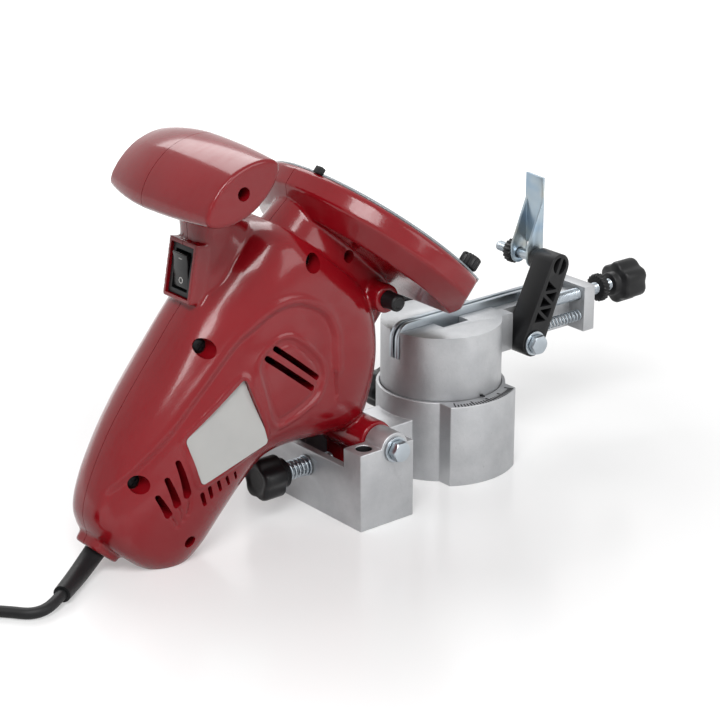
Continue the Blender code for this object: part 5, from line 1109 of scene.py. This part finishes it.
def sculpted(mesh):
    """Press the ridge, vent panel, label surround and fan grooves into the near side, in the head's frame."""
    count = len(mesh.vertices)
    places, normals = np.empty(count * 3), np.empty(count * 3)
    mesh.vertices.foreach_get("co", places)
    mesh.vertices.foreach_get("normal", normals)
    places, normals = places.reshape(-1, 3), normals.reshape(-1, 3)
    flat = places[:, 1:]
    facing = soft_step(-normals[:, 0], 0.15, 0.55) * soft_step(-places[:, 0], 0.008, 0.014)
    facing *= soft_step(flat[:, 0], -0.0500, -0.0440)
    reach, side = far_of_line(flat, smooth_rows(SWOOSH, 5))
    below = np.where(side > 0, reach, -reach)
    valley = soft_step(below, -0.0004, 0.0022) * (1 - soft_step(below, 0.0060, 0.0200))
    sink = 0.0013 * valley - 0.0004 * bell(below, -0.0016, width=0.0018)
    panel = inside_of(flat, corner_rounded(PANEL, 0.0040, 8))
    sink += 0.0008 * (1 - soft_step(panel, -0.0014, -0.0002)) - 0.0003 * bell(panel, 0.0008, width=0.0007)
    sink += 0.0004 * bell(panel, -0.0032, width=0.0006)
    label = inside_of(flat, corner_rounded(grown(LABEL_CORNERS, 0.0012), 0.0030))
    sink -= 0.0005 * bell(label, 0.0009, width=0.0008)
    for line in GROOVES:
        reach, _ = far_of_line(flat, smooth_rows(line, 6))
        sink += 0.0009 * bell(reach, 0, width=0.0006)
    places = places - normals * (sink * facing)[:, None]
    mesh.vertices.foreach_set("co", places.ravel())
    mesh.update()
    return mesh


def head_form():
    """The head's whole outside: all its forms melted together and sculpted."""
    to_head = placed((0, 0, 0), -HEAD_PITCH) @ placed((0, -PIVOT[1], -PIVOT[2]))
    hinge_barrel = moved(rod(-0.0307, 0.0307, 0.0090, edge=0.0006, segments=64), along_x())
    lock_boss = moved(rod(-0.0300, 0, 0.0066, edge=0.0005, segments=64), LOCK_LINE)
    switch_box = moved(centred_box(0.0102, 0.0132, -0.0155, 0.0022), SWITCH)
    depth_tab = moved(box((-0.0100, 0.0632, 0.0140), (0.0020, 0.0688, 0.0312)), to_head)
    forms = [body_form(), stem_form(), grip_form(), guard_form(), neck_form(), hinge_barrel, collar_form(),
             lock_boss, switch_box, depth_tab]
    return sculpted(remeshed(gathered(*forms), voxel=0.00076, rounds=5))


def make_housing():
    """Near and far shells, hollowed and parted at X = 0, and the screws in their wells."""
    hinge_bore = moved(rod(-0.05, 0.05, 0.0033), along_x())
    whole = head_form()
    for tools in (hollows(), near_cuts(), [hinge_bore]):
        whole = carved(whole, tools)
    wide = 0.5
    for name, away in (("near", box((-GAP / 2, -wide, -wide), (wide, wide, wide))),
                       ("far", box((-wide, -wide, -wide), (GAP / 2, wide, wide)))):
        shell = carved(whole.copy(), [away])
        piece("shell_" + name, in_head(shell), RED, "head", "housing_" + name, sharp=38)
    for y, z, floor, radius in WELLS:
        # The well screws are near-black as painted shade in the wells
        screw = cross_screw(floor - 0.0001, radius - 0.0006)
        piece(f"shell_screw_{round(1000 * z)}", in_head(screw, along_x(y, z)), WELL_SHADE_SCREWS, "head")
    piece("grip_screw", in_head(cross_screw(-0.0345, 0.0026), GRIP_LINE), DARK_STEEL_AND_BORE_SHADE, "head")


def cross_screw(floor, radius):
    """Pan-head screw with a cross recess, its head towards lower local Z."""
    head = turned(eased([(floor - 0.0012, 0), (floor - 0.0012, radius * 0.6), (floor - 0.0004, radius * 0.96),
                         (floor, radius * 0.96), (floor, 0)], 0.0003, 3), 40)
    long, narrow = radius * 0.55, radius * 0.55 * 0.22
    cross = [centred_box(*halves, floor - 0.003, floor - 0.0007) for halves in ((long, narrow), (narrow, long))]
    return carved(head, cross, solver="EXACT")


# Wheel, guard cover, switch and lock


def make_wheel():
    """Grinding wheel with its flanges and nut, turning about the spindle."""
    front, rear, bore, radius = -0.0736, -0.0704, 0.0111, 0.0500
    edge = eased([(front, bore), (front, radius), (rear, radius), (rear, bore)], 0.0005, steps=3, loop=True)
    wheel = turned(edge, 192, closed=True)
    piece("wheel_disc", in_head(wheel, SPINDLE_LINE), GRIT, "wheel_spindle", "grinding_wheel")
    for name in ("wheel_flange_front", "wheel_flange_rear", "wheel_nut", "spindle", "spindle_pulley"):
        eased_solid(name, ZINC if name != "spindle_pulley" else DARK_STEEL_AND_BORE_SHADE, 0.00025)


def make_cover():
    """Smoked guard cover with its rolled rim and clip, and the slotted thumb screw that holds it."""
    front, thick, bulge, reach = -0.0812, 0.0012, 0.0030, 0.0572
    # From the middle to the rim: share of the bulge, and radius
    dome = [(1, 0), (1, 0.0120), (0.9, reach - 0.0300), (0.55, reach - 0.0190)]
    outside = [(front - thick - bulge * share, radius) for share, radius in dome]
    outside += [(front - thick, reach - 0.0130), (front - thick, reach - 0.0006), (front, reach)]
    inside = [(front - bulge * share, radius) for share, radius in dome] + [(front, reach - 0.0138)]
    cover = moved(turned(eased([*outside, *reversed(inside)], 0.0008), 160), SPINDLE_LINE)
    cover = carved(cover, guard_trims(), solver="EXACT")
    piece("cover_skin", in_head(cover), SMOKED, "head", "guard_cover")
    clip = rounded(box((-0.0138, -0.0842, 0.0945), (-0.0096, -0.0808, 0.0976)), width=0.0005)
    piece("cover_clip", in_head(clip), BLACK, "head")
    slot = centred_box(0.0060, 0.0006, -0.0930, -0.0878)
    grip = carved(fluted(-0.0893, -0.0832, radius=0.0046, flutes=16, depth=0.0005), [slot], solver="EXACT")
    screw = gathered(grip, rod(-0.0835, -0.0760, 0.0020, edge=0.0003))
    piece("cover_screw_grip", in_head(screw, along_y(-0.0500, 0.0270)), BLACK, "cover_screw_body", "cover_screw")


def make_lock():
    """Spindle lock button with its dished face and pin, and the spring that sends it back."""
    profile = [(-0.0376, 0), (-0.0376, 0.0022), (-0.0380, 0.0024), (-0.0380, 0.0031), (-0.0374, 0.0038),
               (-0.0366, 0.0039), (-0.0238, 0.0039), (-0.0238, 0.0052), (-0.0222, 0.0052), (-0.0222, 0.0039),
               (-0.0128, 0.0039), (-0.0124, 0.0011), (-0.0071, 0.0011), (-0.0068, 0.0008), (-0.0068, 0)]
    stem = turned(eased(profile, 0.0002, steps=2), 48)
    piece("lock_button_stem", in_head(stem, LOCK_LINE), BLACK, "lock_button_body", "lock_button")
    fixed_end, loose_end = -0.0125, -0.0221
    coil = moved(spring(loose_end, fixed_end, radius=0.0046, curls=4, wire=0.0003), LOCK_LINE)
    wound = piece("lock_spring_wire", in_head(coil), ZINC, "head", "lock_spring")
    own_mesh(wound)


def make_switch():
    """Rocker switch: bezel and socket, and a boat-shaped rocker with its two marks."""
    rim = rounded(centred_box(0.0080, 0.0110, 0.0001, 0.0010), width=0.0004, segments=3)
    socket = centred_box(0.0067, 0.0097, -0.0125, 0.0004)
    opening = centred_box(0.0056, 0.0087, -0.0064, 0.010)
    body = carved(carved(rim, [socket], "UNION", "EXACT"), [opening], solver="EXACT")
    piece("switch_bezel", in_head(body, SWITCH), BLACK, "head", "switch_body")
    # Its outline along the switch: high at one end, a soft ridge, and low at the other
    outline = [(-0.0076, -0.0020), (-0.0058, -0.0040), (0.0058, -0.0040), (0.0076, -0.0020), (0.0077, 0.0004),
               (0.0055, 0.0006), (0.0030, 0.0009), (0.0010, 0.0014), (-0.0008, 0.0018), (-0.0030, 0.0020),
               (-0.0052, 0.0025), (-0.0072, 0.0033), (-0.0077, 0.0030)]
    boat = rounded(moved(prism(outline, -0.0051, 0.0051), along_x()), width=0.0005, segments=3)
    piece("switch_rocker_boat", in_head(boat, SWITCH), GLOSS_BLACK, "rocker", "switch_rocker", sharp=50)
    circle = turned([(0, 0.0010), (0, 0.0014), (0.0001, 0.0014), (0.0001, 0.0010)], 40, closed=True)
    low_face, high_face = placed((0, 0.0045, 0.00072), -7.5), placed((0, -0.0051, 0.00242), -14.0)
    stroke = centred_box(0.0011, 0.0002, 0, 0.0001)
    marks = gathered(moved(circle, low_face), moved(stroke, high_face))
    piece("switch_marks", in_head(marks, SWITCH), INK, "rocker")


def make_label():
    """Bare label plate on its seat."""
    plate = prism(corner_rounded(LABEL_CORNERS, 0.0020), GAP, GAP + 0.0006)
    piece("label_sheet", in_head(plate, LABEL), SILVER, "head", "label_plate", sharp=20)


# Lead and plug

RELIEF_ROUTE = (
    (0, 0.1892, 0.0186), (0, 0.1946, 0.0125), (-0.0015, 0.2010, 0.0080), (-0.0060, 0.2090, 0.0056),
    (-0.0115, 0.2170, 0.0048), (-0.0180, 0.2260, 0.0046),
)
LEAD_ROUTE = (
    (-0.0228, 0.2360, 0.0034), (-0.0215, 0.2430, 0.0027), (-0.0150, 0.2490, 0.0026), (-0.0040, 0.2580, 0.0026),
    (0.0120, 0.2660, 0.0026), (0.0250, 0.2770, 0.0026), (0.0315, 0.2890, 0.0026),
)
END_ROUTE = (
    (0.0335, 0.3330, 0.0165), (0.0330, 0.3440, 0.0095), (0.0290, 0.3560, 0.0040), (0.0200, 0.3655, 0.0036),
    (0.0090, 0.3705, 0.0058),
)
CORD_RADIUS = 0.0025
COIL_PLACE = (-0.0020, 0.3150)
COIL_RADIUS = 0.0350
PLUG_PLACE = (-0.0010, 0.3715, 0.0065)


def smooth_run(start, route, end):
    """Round path through a route, from one run of the lead to the next."""
    return [Vector(row) for row in smooth_rows([start, *route, end], 6)]


def coil_points():
    """Centre line of the coiled lead: four layers, wound in and out."""
    layers, per_layer, per_turn, beside, above = 4, 2.5, 40, 0.0059, 0.0056
    points = []
    for i in range(int(layers * per_layer * per_turn) + 1):
        turn = i / per_turn
        layer = min(int(turn / per_layer), layers - 1)
        inside = turn - layer * per_layer
        drawn = inside if layer % 2 == 0 else per_layer - inside
        reach = COIL_RADIUS - drawn * beside
        climbs = (min(max((turn - step * per_layer) * 2 + 0.5, 0), 1) for step in range(1, layers))
        height = CORD_RADIUS + sum(above * climb for climb in climbs)
        angle = 2 * math.pi * turn
        points.append(Vector((COIL_PLACE[0] + reach * math.cos(angle), COIL_PLACE[1] + reach * math.sin(angle),
                              height)))
    return points


def make_lead():
    """Mains lead in one run, its strain relief and its moulded plug."""
    coil = coil_points()
    plug_end = Vector((PLUG_PLACE[0] + 0.0010, PLUG_PLACE[1], PLUG_PLACE[2]))
    path = smooth_run(RELIEF_ROUTE[-2], [RELIEF_ROUTE[-1], *LEAD_ROUTE], coil[0])[6:]
    path += coil[1:] + smooth_run(coil[-1], END_ROUTE, plug_end)[1:]
    curve = bpy.data.curves.new("mains_lead", "CURVE")
    curve.dimensions, curve.use_fill_caps = "3D", True
    curve.bevel_depth, curve.bevel_resolution = CORD_RADIUS, 5
    run = curve.splines.new("POLY")
    run.points.add(len(path) - 1)
    for point, place in zip(run.points, path):
        point.co = (*place, 1)
    run.use_smooth = True
    curve.materials.append(RUBBER)
    lead = added("mains_lead", curve)
    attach(lead, "base")
    for name in ("cord_lead", "cord_coil", "cord_end"):
        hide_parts(name)
    grip, prongs = make_plug()
    make_relief()


def make_plug():
    """Two-pin plug: waisted moulded grip with grooves, and round pins."""
    # Share of the grip's length, and of its width and height
    shares = ((0, 0.26, 0.62), (0.16, 0.30, 0.70), (0.34, 0.72, 0.84), (0.50, 0.97, 0.98), (0.66, 1, 1),
              (0.88, 0.96, 0.98), (1, 0.90, 0.84))
    length, half_width, half_height, half_groove = 0.0340, 0.0175, 0.0065, 0.0007
    sections = [(along * length, oval((0, 0), width * half_width, height * half_height, exponent=2.6, count=64))
                for along, width, height in smooth_rows(shares, 8)]
    place = Matrix(((0, 0, -1, PLUG_PLACE[0]), (1, 0, 0, PLUG_PLACE[1]), (0, -1, 0, PLUG_PLACE[2]), (0, 0, 0, 1)))
    inside, outside = 0.012, 0.03
    grooves = [turned([(z - half_groove, inside), (z + half_groove, inside), (z + half_groove, outside),
                       (z - half_groove, outside)], closed=True) for z in (0.0235, 0.0265, 0.0295)]
    body = carved(rounded(lofted(sections, 2), width=0.0006), grooves, solver="EXACT")
    grip = piece("plug_grip", moved(body, place), RUBBER, "base", "plug")
    pins = [moved(rod(0.0338, 0.0530, 0.0020, edge=0.0010, segments=32), placed((x, 0, 0)))
            for x in (-0.0093, 0.0093)]
    prongs = piece("plug_prongs", moved(gathered(*pins), place), ZINC, "base")
    return grip, prongs


def make_relief():
    """Smooth tapered strain relief, soft between the head and the lead on the bench."""
    points = [Vector(row) for row in smooth_rows(RELIEF_ROUTE, 9)]
    thickest, taper = 0.0049, 0.0011
    radii = [thickest - taper * (i / (len(points) - 1)) ** 1.5 for i in range(len(points))]
    soft = tube(points, radii, sides=40, upright=(0.2, 0, 1))
    soft.materials.append(RUBBER)
    made = added("strain_relief_boot", soft)
    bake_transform(made)
    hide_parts("strain_relief")


def make_inner():
    """Finishes of the parts inside the housing."""
    for end in ("front", "rear"):
        painted(ZINC, f"spindle_bearing_{end}", f"motor_bearing_{end}")
    painted(IRON, "motor_stator", "motor_rotor")
    painted(CARBON, "motor_brush_near", "motor_brush_far")
    painted(RUBBER, "drive_belt")
    painted(BLACK, "motor_fan")
    painted(DARK_STEEL_AND_BORE_SHADE, "motor_pulley")


# Floor, light and the whole

OBJECT_MIDDLE = (0, 0.06, 0.07)


def background_rays(tree):
    """1 for a ray that looks at the background, straight or by way of metal, gloss or glass."""
    seen = tree.nodes.new("ShaderNodeLightPath")
    total = seen.outputs["Is Camera Ray"]
    for name in ("Is Glossy Ray", "Is Transmission Ray"):
        larger = tree.nodes.new("ShaderNodeMath")
        larger.operation = "MAXIMUM"
        linked(tree, (total, larger.inputs[0]), (seen.outputs[name], larger.inputs[1]))
        total = larger.outputs[0]
    return total


def set_world():
    """White background, and a dimmer glow that lights the object."""
    world = bpy.data.worlds.new("studio")
    bpy.context.scene.world = world
    world.use_nodes = True
    tree = world.node_tree
    glow, white = tree.nodes["Background"], tree.nodes.new("ShaderNodeBackground")
    for light, strength in ((glow, 0.22), (white, 1.0)):
        light.inputs["Color"].default_value = (1, 1, 1, 1)
        light.inputs["Strength"].default_value = strength
    share = tree.nodes.new("ShaderNodeMixShader")
    linked(tree, (background_rays(tree), share.inputs["Fac"]), (glow.outputs[0], share.inputs[1]),
           (white.outputs[0], share.inputs[2]), (share.outputs[0], tree.nodes["World Output"].inputs["Surface"]))
    bpy.context.scene.view_settings.view_transform = "Standard"


def set_floor():
    """Pale glossy floor whose glow is weaker near the object, a painted shade round it, and brightens away from the
    object until it meets the background.
    """
    floor = Recipe("studio_floor", Base_Color=(0.62, 0.62, 0.62, 1))
    floor.feed("Roughness", 0.18 + 0.06 * floor.grain(30, detail=2.0))
    # Painted shade: the floor's glow is lower near the object and grows with distance from it
    away = floor.ramp(floor.reach() * 0.8, (0.10, 0.0), (0.42, 1.0))
    tree = floor.tree
    glow = tree.nodes.new("ShaderNodeEmission")
    lift = tree.nodes.new("ShaderNodeAddShader")
    share = tree.nodes.new("ShaderNodeMixShader")
    linked(tree, ((0.27 + 0.45 * away).socket, glow.inputs["Strength"]), (floor.shader.outputs[0], lift.inputs[0]),
           (glow.outputs[0], lift.inputs[1]), (background_rays(tree), share.inputs["Fac"]),
           (floor.shader.outputs[0], share.inputs[1]), (lift.outputs[0], share.inputs[2]),
           (share.outputs[0], tree.nodes["Material Output"].inputs["Surface"]))
    half_size = 4
    sheet = centred_box(half_size, half_size, -0.002, 0)
    sheet.materials.append(floor.material)
    added("studio_floor", sheet)


def set_lamps():
    """Even studio light: a key from the left, a weak fill and a back light."""
    lamp("key", (-0.9, 0.9, 1.4), size=0.8, power=23)
    lamp("fill", (-1.4, -0.4, 0.7), size=0.8, power=6)
    lamp("back", (0.9, -0.3, 1.2), size=0.9, power=10)


def lamp(name, place, size, power):
    """Square soft light that looks at the object."""
    light = bpy.data.lights.new(name, "AREA")
    light.size, light.energy = size, power
    made = added(name, light)
    aim = Vector(OBJECT_MIDDLE) - Vector(place)
    made.matrix_world = Matrix.Translation(place) @ aim.to_track_quat("-Z", "Y").to_matrix().to_4x4()


for make in (set_camera, set_world, set_floor, set_lamps, make_lead, make_base, make_vise, make_vise_screws,
             make_stop, make_hinge_and_depth, make_housing, make_wheel, make_cover, make_lock, make_switch,
             make_label, make_inner):
    make()
